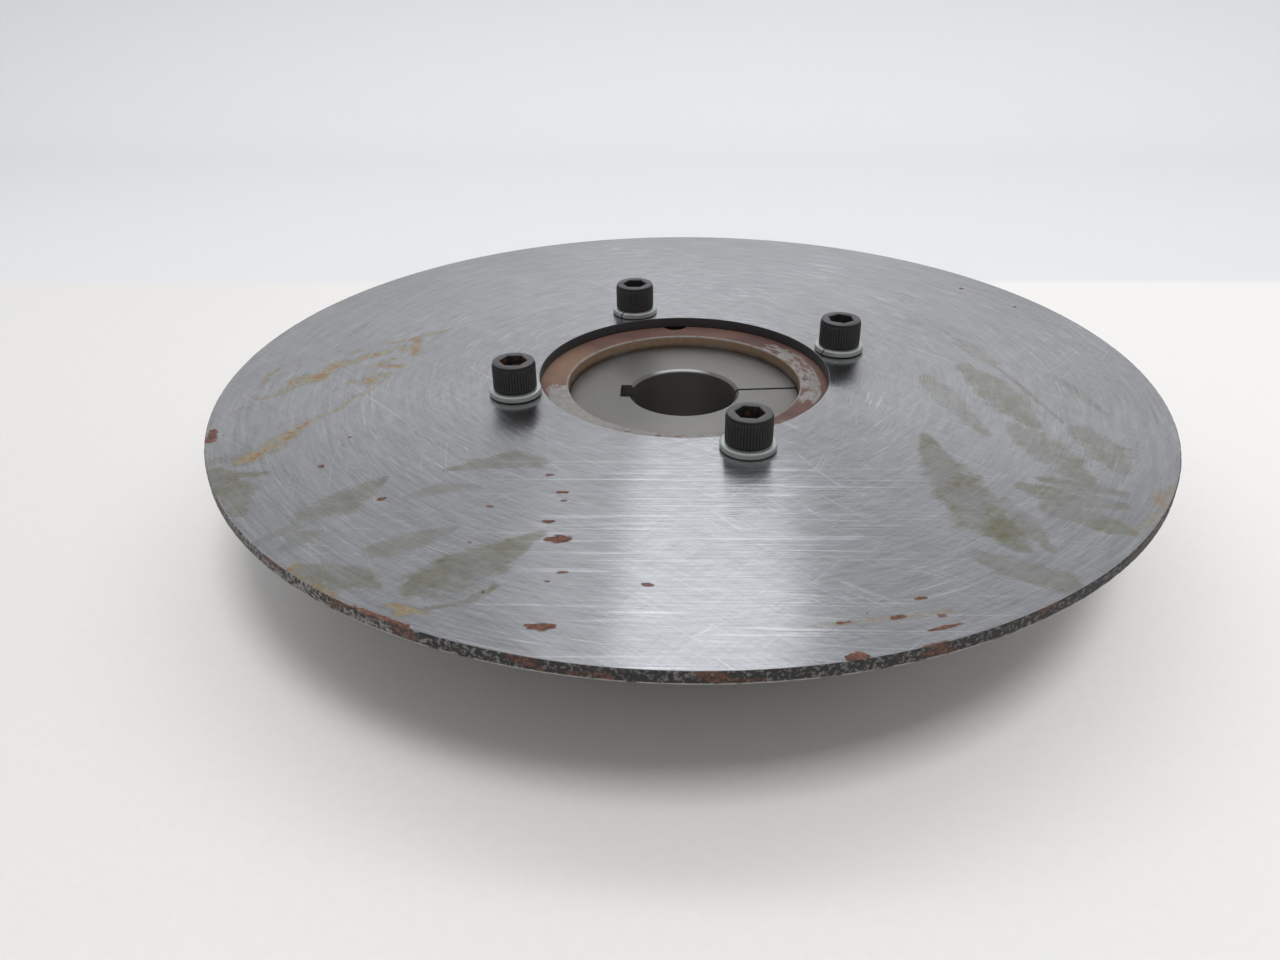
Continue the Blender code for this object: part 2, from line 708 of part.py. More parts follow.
def make_armature_rivets(parts, body):
    """The four rivets, with heads sunk in the armature's face."""
    bottom = ARMATURE_BOTTOM + RIVET_INSET
    profile = [
        (0.0, SPRING_TOP - SEAT_GAP),
        (RIVET_SHANK_RADIUS, SPRING_TOP - SEAT_GAP),
        (RIVET_SHANK_RADIUS, bottom + RIVET_HEAD_HEIGHT),
        (RIVET_HEAD_RADIUS, bottom + RIVET_HEAD_HEIGHT),
        (RIVET_HEAD_RADIUS, bottom),
        (0.0, bottom),
    ]
    for number, angle in enumerate(RIVET_ANGLES, start=1):
        rivet = turn(f"armature_rivet_{number}", profile, HOLE_SIDES, parts, closed=False)
        settle(rivet, "machined_steel", body)
        rivet.location = polar(RIVET_CIRCLE_RADIUS, angle)


def flux_slot_loop(start):
    """The edge of one curved slot in the rotor's pole face."""
    stop = start + FLUX_SLOT_SPAN
    outer = arc_points((0.0, 0.0), FLUX_SLOT_OUTER, start, stop, FLUX_SLOT_STEPS)
    inner = arc_points((0.0, 0.0), FLUX_SLOT_INNER, stop, start, FLUX_SLOT_STEPS)
    return outer + inner


def make_rotor(parts, cutters, body):
    """The rotor: bearing boss, pole face, outer wall and pulley flange."""
    groove_top = ROTOR_RING_BOTTOM + RING_THICKNESS + RING_GROOVE_SLACK
    groove_bottom = ROTOR_RING_BOTTOM - RING_GROOVE_SLACK
    profile = [
        (ROTOR_WALL_RADIUS, ROTOR_TOP),
        (ROTOR_WALL_RADIUS, ROTOR_FLANGE_TOP),
        (ROTOR_FLANGE_RADIUS, ROTOR_FLANGE_TOP),
        (ROTOR_FLANGE_RADIUS, ROTOR_FLANGE_BOTTOM),
        (ROTOR_WALL_RADIUS, ROTOR_FLANGE_BOTTOM),
        (ROTOR_WALL_RADIUS, ROTOR_WALL_BOTTOM),
        (ROTOR_WALL_INNER_RADIUS, ROTOR_WALL_BOTTOM),
        (ROTOR_WALL_INNER_RADIUS, ROTOR_WEB_BOTTOM),
        (ROTOR_BOSS_RADIUS, ROTOR_WEB_BOTTOM),
        (ROTOR_BOSS_RADIUS, ROTOR_BOSS_BOTTOM),
        (LIP_RADIUS, ROTOR_BOSS_BOTTOM),
        (LIP_RADIUS, ROTOR_LIP_TOP),
        (HOUSING_RADIUS, ROTOR_LIP_TOP),
        (HOUSING_RADIUS, groove_bottom),
        (HOUSING_GROOVE_RADIUS, groove_bottom),
        (HOUSING_GROOVE_RADIUS, groove_top),
        (HOUSING_RADIUS, groove_top),
        (HOUSING_RADIUS, ROTOR_BORE_STEP),
        (ROTOR_BORE_RADIUS, ROTOR_BORE_STEP),
        (ROTOR_BORE_RADIUS, ROTOR_TOP),
        (LINING_GROOVE_INNER, ROTOR_TOP),
        (LINING_GROOVE_INNER, LINING_GROOVE_BOTTOM),
        (LINING_GROOVE_OUTER, LINING_GROOVE_BOTTOM),
        (LINING_GROOVE_OUTER, ROTOR_TOP),
    ]
    rotor = turn("rotor", profile, SHELL_SIDES, parts)
    pulley_angles = [math.tau * i / PULLEY_HOLE_COUNT for i in range(PULLEY_HOLE_COUNT)]
    pulley_holes = cylinder_cutter(
        "rotor_pulley_holes",
        PULLEY_HOLE_RADIUS,
        ROTOR_FLANGE_BOTTOM - CUT_PAST,
        ROTOR_FLANGE_TOP + CUT_PAST,
        [polar(PULLEY_CIRCLE_RADIUS, a) for a in pulley_angles],
        HOLE_SIDES,
        cutters,
    )
    combine(rotor, pulley_holes)
    for number in range(FLUX_SLOT_COUNT):
        slot = outline_solid(
            f"rotor_flux_slot_{number + 1}",
            [flux_slot_loop(math.tau * number / FLUX_SLOT_COUNT)],
            ROTOR_WEB_BOTTOM - CUT_PAST,
            LINING_GROOVE_BOTTOM + CUT_PAST,
            cutters,
        )
        combine(rotor, mark_cutter(slot))
    settle(rotor, "machined_steel", body)


def make_friction_lining(parts, body):
    """The lining ring in the rotor's pole face, flush with the poles."""
    lining = turn_ring(
        "friction_lining",
        LINING_GROOVE_INNER + FIT_GAP,
        LINING_GROOVE_OUTER - FIT_GAP,
        LINING_GROOVE_BOTTOM + FIT_GAP,
        ROTOR_TOP - SEAT_GAP,
        SHELL_SIDES,
        parts,
    )
    settle(lining, "friction_lining", body)


def make_field_shell(parts, cutters, body):
    """The field shell: bearing housing, back plate, and inner and outer poles round the coil."""
    groove_top = FIELD_RING_BOTTOM + RING_THICKNESS + RING_GROOVE_SLACK
    groove_bottom = FIELD_RING_BOTTOM - RING_GROOVE_SLACK
    profile = [
        (SHELL_RADIUS, SHELL_POLE_TOP),
        (SHELL_RADIUS, SHELL_CHAMFER),
        (SHELL_RADIUS - SHELL_CHAMFER, 0.0),
        (HOUSING_RADIUS, 0.0),
        (HOUSING_RADIUS, groove_bottom),
        (HOUSING_GROOVE_RADIUS, groove_bottom),
        (HOUSING_GROOVE_RADIUS, groove_top),
        (HOUSING_RADIUS, groove_top),
        (HOUSING_RADIUS, SHELL_LIP_BOTTOM),
        (LIP_RADIUS, SHELL_LIP_BOTTOM),
        (LIP_RADIUS, SHELL_BLOCK_TOP),
        (SHELL_POLE_BORE_RADIUS, SHELL_BLOCK_TOP),
        (SHELL_POLE_BORE_RADIUS, SHELL_POLE_TOP),
        (SHELL_INNER_POLE_RADIUS, SHELL_POLE_TOP),
        (SHELL_INNER_POLE_RADIUS, SHELL_PLATE_TOP),
        (SHELL_OUTER_POLE_RADIUS, SHELL_PLATE_TOP),
        (SHELL_OUTER_POLE_RADIUS, SHELL_POLE_TOP),
    ]
    shell = turn("field_shell", profile, SHELL_SIDES, parts)
    recess = box_cutter(
        "shell_arm_recess",
        (-ARM_WIDTH / 2 - FIT_GAP, ARM_START - FIT_GAP, -CUT_PAST),
        (ARM_WIDTH / 2 + FIT_GAP, SHELL_RADIUS + CUT_PAST, ARM_TOP + FIT_GAP),
        cutters,
    )
    tapped = cylinder_cutter(
        "shell_tapped_holes",
        ARM_SCREW_SHANK_RADIUS + FIT_GAP,
        ARM_BOTTOM,
        ARM_HOLE_TOP,
        [(-ARM_SCREW_X, ARM_SCREW_Y), (ARM_SCREW_X, ARM_SCREW_Y)],
        HOLE_SIDES,
        cutters,
    )
    combine(shell, recess)
    combine(shell, tapped)
    settle(shell, "machined_steel", body)


def make_coil(parts, body):
    """The coil: a flanged bobbin, the winding on it, and the potting that closes the trough."""
    bottom = SHELL_PLATE_TOP + FIT_GAP
    wall = COIL_INNER_RADIUS + BOBBIN_WALL
    profile = [
        (COIL_OUTER_RADIUS, BOBBIN_TOP),
        (COIL_OUTER_RADIUS, BOBBIN_TOP - BOBBIN_WALL),
        (wall, BOBBIN_TOP - BOBBIN_WALL),
        (wall, bottom + BOBBIN_WALL),
        (COIL_OUTER_RADIUS, bottom + BOBBIN_WALL),
        (COIL_OUTER_RADIUS, bottom),
        (COIL_INNER_RADIUS, bottom),
        (COIL_INNER_RADIUS, BOBBIN_TOP),
    ]
    bobbin = turn("coil_bobbin", profile, SHELL_SIDES, parts)
    settle(bobbin, "bobbin_plastic", body)
    winding = turn_ring(
        "coil_winding",
        wall + FIT_GAP,
        WINDING_OUTER_RADIUS,
        bottom + BOBBIN_WALL + FIT_GAP,
        BOBBIN_TOP - BOBBIN_WALL - FIT_GAP,
        SHELL_SIDES,
        parts,
    )
    settle(winding, "copper", body)
    potting = turn_ring(
        "coil_potting",
        COIL_INNER_RADIUS,
        COIL_OUTER_RADIUS,
        BOBBIN_TOP + FIT_GAP,
        POTTING_TOP,
        SHELL_SIDES,
        parts,
    )
    settle(potting, "potting", body)


def groove_profile(race_radius, top, middle, side):
    """The points of a ball groove in a race, from its upper to its lower edge. Side is 1 inside, -1 outside."""
    offset = abs(BALL_PITCH_RADIUS - race_radius)
    start = math.asin(offset / GROOVE_RADIUS)
    points = []
    for i in range(GROOVE_STEPS + 1):
        angle = start + (math.pi - 2 * start) * i / GROOVE_STEPS
        radius = BALL_PITCH_RADIUS - side * GROOVE_RADIUS * math.sin(angle)
        points.append((radius, middle + top * GROOVE_RADIUS * math.cos(angle)))
    return points


def make_bearing(name, bottom, parts, inner_body, outer_body, cage_body):
    """One ball bearing: two grooved races, a cage with its balls, and a seal in each side."""
    top = bottom + BEARING_WIDTH
    middle = (bottom + top) / 2
    inner_profile = [
        (INNER_RACE_RADIUS, top),
        *groove_profile(INNER_RACE_RADIUS, 1, middle, 1),
        (INNER_RACE_RADIUS, bottom),
        (BEARING_BORE_RADIUS, bottom),
        (BEARING_BORE_RADIUS, top),
    ]
    inner = turn(f"{name}_inner_race", inner_profile, BEARING_SIDES, parts)
    settle(inner, "bearing_steel", inner_body)
    outer_profile = [
        (BEARING_RADIUS, top),
        (BEARING_RADIUS, bottom),
        (OUTER_RACE_RADIUS, bottom),
        *groove_profile(OUTER_RACE_RADIUS, -1, middle, -1),
        (OUTER_RACE_RADIUS, top),
    ]
    outer = turn(f"{name}_outer_race", outer_profile, BEARING_SIDES, parts)
    settle(outer, "bearing_steel", outer_body)
    make_cage(name, middle, parts, cage_body)
    for side, label in ((-1, "lower"), (1, "upper")):
        faces = sorted((middle + side * SEAL_INNER_FACE, middle + side * SEAL_OUTER_FACE))
        seal = turn_ring(
            f"{name}_{label}_seal", SEAL_INNER_RADIUS, SEAL_OUTER_RADIUS, *faces, BEARING_SIDES, parts
        )
        settle(seal, "seal_rubber", outer_body)


def make_cage(name, middle, parts, body):
    """The cage ring, joined with the balls that it carries."""
    cage = turn_ring(
        f"{name}_cage_and_balls",
        CAGE_INNER_RADIUS,
        CAGE_OUTER_RADIUS,
        middle - CAGE_HALF_WIDTH,
        middle + CAGE_HALF_WIDTH,
        BEARING_SIDES,
        parts,
    )
    shape = bmesh.new()
    for i in range(BALL_COUNT):
        angle = math.tau * (i + 0.3) / BALL_COUNT
        place = Matrix.Translation(polar(BALL_PITCH_RADIUS, angle, middle))
        turned = Matrix.Rotation(angle, 4, "Z")
        bmesh.ops.create_uvsphere(
            shape, u_segments=BALL_SIDES, v_segments=BALL_RINGS, radius=BALL_RADIUS, matrix=place @ turned
        )
    mesh = bpy.data.meshes.new("balls")
    shape.to_mesh(mesh)
    shape.free()
    balls = add_object("balls", mesh, parts)
    combine(cage, balls, "UNION")
    settle(cage, "bearing_cage", body)
    bpy.data.objects.remove(balls)


def make_split_ring(name, inner, outer, bottom, gap_angle, parts, cutters, body):
    """A retaining ring, open by a gap so that it can be sprung into its groove."""
    ring = turn_ring(name, inner, outer, bottom, bottom + RING_THICKNESS, BEARING_SIDES, parts)
    gap = box_cutter(
        name + "_gap",
        (inner - CUT_PAST, -RING_GAP_WIDTH / 2, bottom - CUT_PAST),
        (outer + CUT_PAST, RING_GAP_WIDTH / 2, bottom + RING_THICKNESS + CUT_PAST),
        cutters,
        turned=gap_angle,
    )
    combine(ring, gap)
    settle(ring, "spring_steel", body)


def make_rings(parts, cutters, bodies):
    """The three retaining rings, and the spacer between the bearings' inner races."""
    make_split_ring(
        "hub_retaining_ring",
        HUB_RING_INNER_RADIUS,
        HUB_RING_OUTER_RADIUS,
        HUB_RING_BOTTOM,
        math.radians(140),
        parts,
        cutters,
        bodies["hub"],
    )
    housing_rings = (
        ("field_retaining_ring", FIELD_RING_BOTTOM, math.radians(250), bodies["field"]),
        ("rotor_retaining_ring", ROTOR_RING_BOTTOM, math.radians(35), bodies["rotor"]),
    )
    for name, bottom, gap_angle, body in housing_rings:
        make_split_ring(
            name,
            HOUSING_RING_INNER_RADIUS,
            HOUSING_RING_OUTER_RADIUS,
            bottom,
            gap_angle,
            parts,
            cutters,
            body,
        )
    spacer = turn_ring(
        "bearing_spacer",
        BEARING_BORE_RADIUS,
        SPACER_RADIUS,
        FIELD_BEARING_BOTTOM + BEARING_WIDTH + FIT_GAP,
        ROTOR_BEARING_BOTTOM - FIT_GAP,
        BEARING_SIDES,
        parts,
    )
    settle(spacer, "machined_steel", bodies["hub"])


def arm_loops():
    """The torque arm's edge, square inside and round outside, and its slot for an anchor pin."""
    half = ARM_WIDTH / 2
    round_centre = (0.0, ARM_END - half)
    edge = [(-half, ARM_START), (half, ARM_START)]
    edge += arc_points(round_centre, half, 0.0, math.pi, ARM_ARC_STEPS)
    slot = arc_points((0.0, ARM_SLOT_END), ARM_SLOT_RADIUS, 0.0, math.pi, ARM_ARC_STEPS)
    slot += arc_points((0.0, ARM_SLOT_START), ARM_SLOT_RADIUS, math.pi, math.tau, ARM_ARC_STEPS)
    return [edge, slot]


def make_torque_arm(parts, cutters, body):
    """The arm that keeps the field shell from turning, and its two countersunk screws."""
    arm = outline_solid("torque_arm", arm_loops(), ARM_BOTTOM, ARM_TOP, parts)
    shank = ARM_SCREW_SHANK_RADIUS
    sink = [
        (0.0, ARM_TOP + CUT_PAST),
        (shank + FIT_GAP, ARM_TOP + CUT_PAST),
        (shank + FIT_GAP, ARM_SCREW_CONE_TOP),
        (ARM_SCREW_HEAD_RADIUS + FIT_GAP, ARM_SCREW_BOTTOM),
        (ARM_SCREW_HEAD_RADIUS + FIT_GAP, ARM_BOTTOM - CUT_PAST),
        (0.0, ARM_BOTTOM - CUT_PAST),
    ]
    screw_profile = [
        (0.0, ARM_SCREW_TOP),
        (shank, ARM_SCREW_TOP),
        (shank, ARM_SCREW_CONE_TOP),
        (ARM_SCREW_HEAD_RADIUS, ARM_SCREW_BOTTOM),
        (0.0, ARM_SCREW_BOTTOM),
    ]
    socket = cylinder_cutter(
        "arm_screw_socket",
        ARM_SCREW_SOCKET_RADIUS,
        ARM_SCREW_BOTTOM - CUT_PAST,
        ARM_SCREW_BOTTOM + ARM_SCREW_SOCKET_DEPTH,
        [(0.0, 0.0)],
        6,
        cutters,
    )
    for number, x in enumerate((-ARM_SCREW_X, ARM_SCREW_X), start=1):
        hole = mark_cutter(turn(f"arm_sink_{number}", sink, HOLE_SIDES, cutters, closed=False))
        hole.location = (x, ARM_SCREW_Y, 0.0)
        combine(arm, hole)
        screw = turn(f"torque_arm_screw_{number}", screw_profile, HOLE_SIDES, parts, closed=False)
        combine(screw, socket)
        settle(screw, "black_oxide", body)
        screw.location = (x, ARM_SCREW_Y, 0.0)
    settle(arm, "machined_steel", body)


def make_terminals(parts, cutters, body):
    """The terminal block, fitted to the shell's round side, and its two screws."""
    bracket = bpy.data.objects.new("terminal_place", None)
    parts.objects.link(bracket)
    bracket.parent = body
    bracket.rotation_euler.z = TERMINAL_ANGLE
    half = TERMINAL_WIDTH / 2
    blank = box_cutter(
        "terminal_block",
        (TERMINAL_INNER_FACE, -half, TERMINAL_BOTTOM),
        (TERMINAL_OUTER_FACE, half, TERMINAL_TOP),
        parts,
    )
    blank.hide_render = False
    blank.display_type = "TEXTURED"
    side = cylinder_cutter(
        "terminal_shell_side",
        SHELL_RADIUS + FIT_GAP,
        TERMINAL_BOTTOM - CUT_PAST,
        TERMINAL_TOP + CUT_PAST,
        [(0.0, 0.0)],
        DISC_SIDES,
        cutters,
    )
    combine(blank, side)
    head = TERMINAL_SCREW_HEAD_HEIGHT
    profile = [
        (0.0, head),
        (TERMINAL_SCREW_HEAD_RADIUS, head),
        (TERMINAL_SCREW_HEAD_RADIUS, 0.0),
        (TERMINAL_SCREW_SHANK_RADIUS, 0.0),
        (TERMINAL_SCREW_SHANK_RADIUS, -TERMINAL_SCREW_LENGTH),
        (0.0, -TERMINAL_SCREW_LENGTH),
    ]
    reach = TERMINAL_SCREW_HEAD_RADIUS + CUT_PAST
    slot = box_cutter(
        "terminal_screw_slot",
        (-reach, -DRIVE_SLOT_WIDTH / 2, head - DRIVE_SLOT_DEPTH),
        (reach, DRIVE_SLOT_WIDTH / 2, head + CUT_PAST),
        cutters,
    )
    middle = (TERMINAL_BOTTOM + TERMINAL_TOP) / 2
    for number, sign in ((1, -1), (2, 1)):
        y = sign * TERMINAL_SCREW_SPACING / 2
        hole = cylinder_cutter(
            f"terminal_hole_{number}",
            TERMINAL_SCREW_HOLE_RADIUS,
            -TERMINAL_SCREW_HOLE_DEPTH,
            CUT_PAST,
            [(0.0, 0.0)],
            HOLE_SIDES,
            cutters,
        )
        hole.location = (TERMINAL_OUTER_FACE, y, middle)
        hole.rotation_euler.y = math.radians(90)
        combine(blank, hole)
        screw = turn(f"terminal_screw_{number}", profile, HOLE_SIDES, parts, closed=False)
        combine(screw, slot)
        settle(screw, "zinc_plate", bracket)
        screw.location = (TERMINAL_OUTER_FACE + SEAT_GAP, y, middle)
        screw.rotation_euler.y = math.radians(90)
    settle(blank, "bobbin_plastic", bracket)


def main():
    """Builds the clutch from the shaft's hub outwards."""
    clear_scene()
    parts = add_collection(OBJECT_NAME)
    cutters = add_collection("cutters")
    bodies = add_bodies(parts)
    make_clutch_disc(parts, cutters, bodies["hub"])
    make_hub(parts, cutters, bodies["hub"])
    make_taper_bushing(parts, cutters, bodies["hub"])
    make_set_screws(parts, cutters, bodies["hub"])
    make_disc_screws(parts, cutters, bodies["hub"])
    make_lock_washers(parts, cutters, bodies["hub"])
    make_armature_spring(parts, bodies["hub"])
    make_armature_plate(parts, cutters, bodies["armature"])
    make_armature_rivets(parts, bodies["armature"])
    make_rotor(parts, cutters, bodies["rotor"])
    make_friction_lining(parts, bodies["rotor"])
    make_field_shell(parts, cutters, bodies["field"])
    make_coil(parts, bodies["field"])
    make_bearing(
        "field_bearing",
        FIELD_BEARING_BOTTOM,
        parts,
        bodies["hub"],
        bodies["field"],
        bodies["field_cage"],
    )
    make_bearing(
        "rotor_bearing",
        ROTOR_BEARING_BOTTOM,
        parts,
        bodies["hub"],
        bodies["rotor"],
        bodies["rotor_cage"],
    )
    make_rings(parts, cutters, bodies)
    make_torque_arm(parts, cutters, bodies["field"])
    make_terminals(parts, cutters, bodies["field"])


main()
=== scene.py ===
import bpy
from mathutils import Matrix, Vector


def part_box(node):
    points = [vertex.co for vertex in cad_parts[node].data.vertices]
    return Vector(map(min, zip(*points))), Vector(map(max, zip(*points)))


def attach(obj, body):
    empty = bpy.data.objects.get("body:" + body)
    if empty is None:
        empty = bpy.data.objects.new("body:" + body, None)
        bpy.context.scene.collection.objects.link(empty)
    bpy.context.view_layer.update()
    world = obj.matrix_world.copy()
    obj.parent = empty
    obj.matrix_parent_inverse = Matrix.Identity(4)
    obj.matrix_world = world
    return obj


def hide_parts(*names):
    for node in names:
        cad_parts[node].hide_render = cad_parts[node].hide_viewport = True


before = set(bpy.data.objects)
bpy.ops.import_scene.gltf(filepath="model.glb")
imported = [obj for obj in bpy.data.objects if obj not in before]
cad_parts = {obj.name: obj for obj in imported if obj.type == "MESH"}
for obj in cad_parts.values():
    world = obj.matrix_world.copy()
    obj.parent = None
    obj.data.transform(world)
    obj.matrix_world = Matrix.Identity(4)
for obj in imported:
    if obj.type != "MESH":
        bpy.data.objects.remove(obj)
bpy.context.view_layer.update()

import math

import bmesh
import bpy
import numpy as np
from mathutils import Matrix, Vector

# Looks of the bearing-mounted electromagnetic clutch: fine surfaces for its visible pieces, worn
# and stained finishes for all of them, and a plain studio. Metres, Z up, the shaft's axis on Z.

MM = 0.001
FILLET_STEPS = 3
SHARP_ANGLE = math.radians(28)
CUT_PAST = 2.0 * MM
MERGE_DISTANCE = 0.001 * MM

# Sides of a full circle in the fine surfaces.
DISC_SIDES = 720
LARGE_SIDES = 180
MEDIUM_SIDES = 96
HOLE_SIDES = 40

# The disc's screws, counted from the right and turning away from the front.
SCREW_ANGLES = [math.radians(19.3 + 90 * i) for i in range(4)]
RIVET_ANGLES = [angle + math.radians(45) for angle in SCREW_ANGLES]
SOCKET_ANGLES = [math.radians(a) for a in (35, 0, 3, -8)]
SOCKET_RUSTINESS = (0.15, 0.0, 1.0, 0.8)
SPLIT_ANGLES = [math.radians(a) for a in (222, 236, 150, 40)]
PULLER_ANGLES = [math.radians(94.2 + 120 * i) for i in range(3)]
SET_SCREW_ANGLES = [math.radians(a) for a in (95, 275)]
JACK_ANGLE = math.radians(185)


# ---------------------------------------------------------------- shapes


def polar(radius, angle, z=0.0):
    """A point at a radius and angle round the shaft's axis."""
    return Vector((radius * math.cos(angle), radius * math.sin(angle), z))


def rounded(corners):
    """A section's points, with an arc in place of each corner (radius, z, fillet)."""
    section = []
    for i, (radius, z, fillet) in enumerate(corners):
        corner = Vector((radius, z))
        if fillet == 0.0:
            section.append(corner)
            continue
        before = (Vector(corners[i - 1][:2]) - corner).normalized()
        after = (Vector(corners[(i + 1) % len(corners)][:2]) - corner).normalized()
        half = before.angle(after) / 2
        reach = fillet / math.tan(half)
        centre = corner + (before + after).normalized() * fillet / math.sin(half)
        start = corner + before * reach - centre
        stop = corner + after * reach - centre
        for step in range(FILLET_STEPS + 1):
            part = step / FILLET_STEPS
            section.append(centre + (start * (1 - part) + stop * part).normalized() * fillet)
    return section


def circle(sides):
    """The cosines and sines of a full circle's points."""
    angles = np.arange(sides) * math.tau / sides
    return np.cos(angles), np.sin(angles)


def ring(radius, z, sides):
    """A level ring of points, with one radius for all of them or one for each."""
    across, along = circle(sides)
    return np.stack([radius * across, radius * along, np.full(sides, z)], axis=1)


def turned_rings(section, sides):
    """One ring of points for each point of a section."""
    return [ring(radius, z, sides) for radius, z in section]


def ring_mesh(name, rings, looped=True):
    """A closed surface through rings of points, looped like a tyre or else capped at both ends."""
    sides = len(rings[0])
    here = np.arange(sides)
    there = (here + 1) % sides
    faces = []
    for i in range(len(rings) if looped else len(rings) - 1):
        low = i * sides
        high = (i + 1) % len(rings) * sides
        faces += np.stack([low + here, high + here, high + there, low + there], axis=1).tolist()
    if not looped:
        faces.append(here.tolist())
        faces.append(((len(rings) - 1) * sides + here[::-1]).tolist())
    mesh = bpy.data.meshes.new(name)
    mesh.from_pydata(np.concatenate(rings).tolist(), [], faces)
    return mesh


def turned(name, corners, sides=LARGE_SIDES):
    """A ring turned from a closed section, which runs down its outer side."""
    return ring_mesh(name, turned_rings(rounded(corners), sides))


def turned_solid(name, corners, sides=MEDIUM_SIDES):
    """A turned body with no bore, from its top face's edge down to its bottom face's edge."""
    first, *between, last = corners
    axis_top = (0.0, first[1], 0.0)
    axis_bottom = (0.0, last[1], 0.0)
    section = rounded([axis_top, first, *between, last, axis_bottom])[1:-1]
    return ring_mesh(name, turned_rings(section, sides), looped=False)


def ring_corners(bottom, top, outer, inner, fillet, inner_fillet=None):
    """The corners of a plain ring's section, with their fillets."""
    if inner_fillet is None:
        inner_fillet = fillet
    return [
        (outer, top, fillet), (outer, bottom, fillet),
        (inner, bottom, inner_fillet), (inner, top, inner_fillet),
    ]


def open_ring_mesh(name, corners, gap_width, gap_angle=0.0, lean=0.0, steps=LARGE_SIDES):
    """A ring that is open by a gap, whose two ends may lean."""
    outer, top = corners[0][:2]
    middle = (corners[1][1] + top) / 2
    gap = gap_width / outer / 2
    rings = []
    for step in range(steps + 1):
        angle = gap_angle + gap + (math.tau - 2 * gap) * step / steps
        points = [polar(r, angle + (z - middle) * lean / outer, z) for r, z in rounded(corners)]
        rings.append(np.array(points)[::-1])
    return ring_mesh(name, rings, looped=False)


def linked(name, data):
    """A new object in the scene."""
    thing = bpy.data.objects.new(name, data)
    bpy.context.scene.collection.objects.link(thing)
    return thing


def evaluated_mesh(thing):
    """An object's mesh as its curve or its modifiers leave it."""
    graph = bpy.context.evaluated_depsgraph_get()
    return bpy.data.meshes.new_from_object(thing.evaluated_get(graph))


def mesh_of(shape, name="cutter"):
    """The mesh of an edited shape."""
    mesh = bpy.data.meshes.new(name)
    shape.to_mesh(mesh)
    shape.free()
    return mesh


def cylinder_mesh(radius, bottom, top, places=((0.0, 0.0),), sides=HOLE_SIDES):
    """Upright cutters at some places, joined in one mesh."""
    shape = bmesh.new()
    for place in places:
        middle = Matrix.Translation((place[0], place[1], (bottom + top) / 2))
        bmesh.ops.create_cone(
            shape, cap_ends=True, segments=sides, radius1=radius, radius2=radius,
            depth=top - bottom, matrix=middle,
        )
    return mesh_of(shape)


def box_shape(low, high, turned_by=0.0):
    """A box between two corners, turned about the shaft's axis, and still open to edits."""
    shape = bmesh.new()
    middle = Matrix.Translation((Vector(low) + Vector(high)) / 2)
    size = Matrix.Diagonal((*(Vector(high) - Vector(low)), 1.0))
    bmesh.ops.create_cube(shape, size=1.0, matrix=Matrix.Rotation(turned_by, 4, "Z") @ middle @ size)
    return shape


def box_mesh(low, high, turned_by=0.0):
    """A box cutter between two corners, turned about the shaft's axis."""
    return mesh_of(box_shape(low, high, turned_by))


def cut(mesh, *cutters):
    """The mesh with each cutter taken out of it."""
    blank = linked("blank", mesh)
    tools = [linked("tool", cutter) for cutter in cutters]
    for tool in tools:
        modifier = blank.modifiers.new("cut", "BOOLEAN")
        modifier.operation = "DIFFERENCE"
        modifier.solver = "EXACT"
        modifier.object = tool
    result = evaluated_mesh(blank)
    for thing in (blank, *tools):
        bpy.data.objects.remove(thing)
    return result


def outline_mesh(name, loops, bottom, top):
    """A flat plate with the given edge loops."""
    curve = bpy.data.curves.new(name, "CURVE")
    curve.dimensions = "2D"
    curve.fill_mode = "BOTH"
    curve.extrude = (top - bottom) / 2
    for loop in loops:
        spline = curve.splines.new("POLY")
        spline.points.add(len(loop) - 1)
        spline.use_cyclic_u = True
        for point, (x, y) in zip(spline.points, loop):
            point.co = (x, y, 0.0, 1.0)
    holder = linked(name, curve)
    mesh = evaluated_mesh(holder)
    bpy.data.objects.remove(holder)
    mesh.transform(Matrix.Translation((0.0, 0.0, (bottom + top) / 2)))
    shape = bmesh.new()
    shape.from_mesh(mesh)
    bmesh.ops.remove_doubles(shape, verts=shape.verts, dist=MERGE_DISTANCE)
    bmesh.ops.recalc_face_normals(shape, faces=shape.faces)
    return mesh_of(shape, name)


def placed(mesh, place, turn=0.0):
    """The mesh, turned about its own upright axis and moved to a place."""
    mesh.transform(Matrix.Translation(place) @ Matrix.Rotation(turn, 4, "Z"))
    return mesh


def arc(centre, radius, start, stop, steps):
    """Points along an arc, both ends included."""
    angles = [start + (stop - start) * i / steps for i in range(steps + 1)]
    return [(centre[0] + radius * math.cos(a), centre[1] + radius * math.sin(a)) for a in angles]


def add_piece(node, mesh, finish, body, sharp=SHARP_ANGLE):
    """A finished piece that rides on a body, and stands for one CAD node and is named after it."""
    name = f"fine_{node}"
    mesh.name = name
    mesh.shade_smooth()
    mesh.set_sharp_from_angle(angle=sharp)
    mesh.materials.clear()
    mesh.materials.append(finish)
    piece = linked(name, mesh)
    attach(piece, body)
    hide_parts(node)


# ---------------------------------------------------------------- finishes


class Value:
    """A number that varies over a surface, and can be added to, multiplied and so on."""

    def __init__(self, finish, socket):
        self.finish = finish
        self.socket = socket

    def __add__(self, other):
        return self.finish.math("ADD", self, other)

    def __sub__(self, other):
        return self.finish.math("SUBTRACT", self, other)

    def __rsub__(self, other):
        return self.finish.math("SUBTRACT", other, self)

    def __mul__(self, other):
        return self.finish.math("MULTIPLY", self, other)

    def __truediv__(self, other):
        return self.finish.math("DIVIDE", self, other)


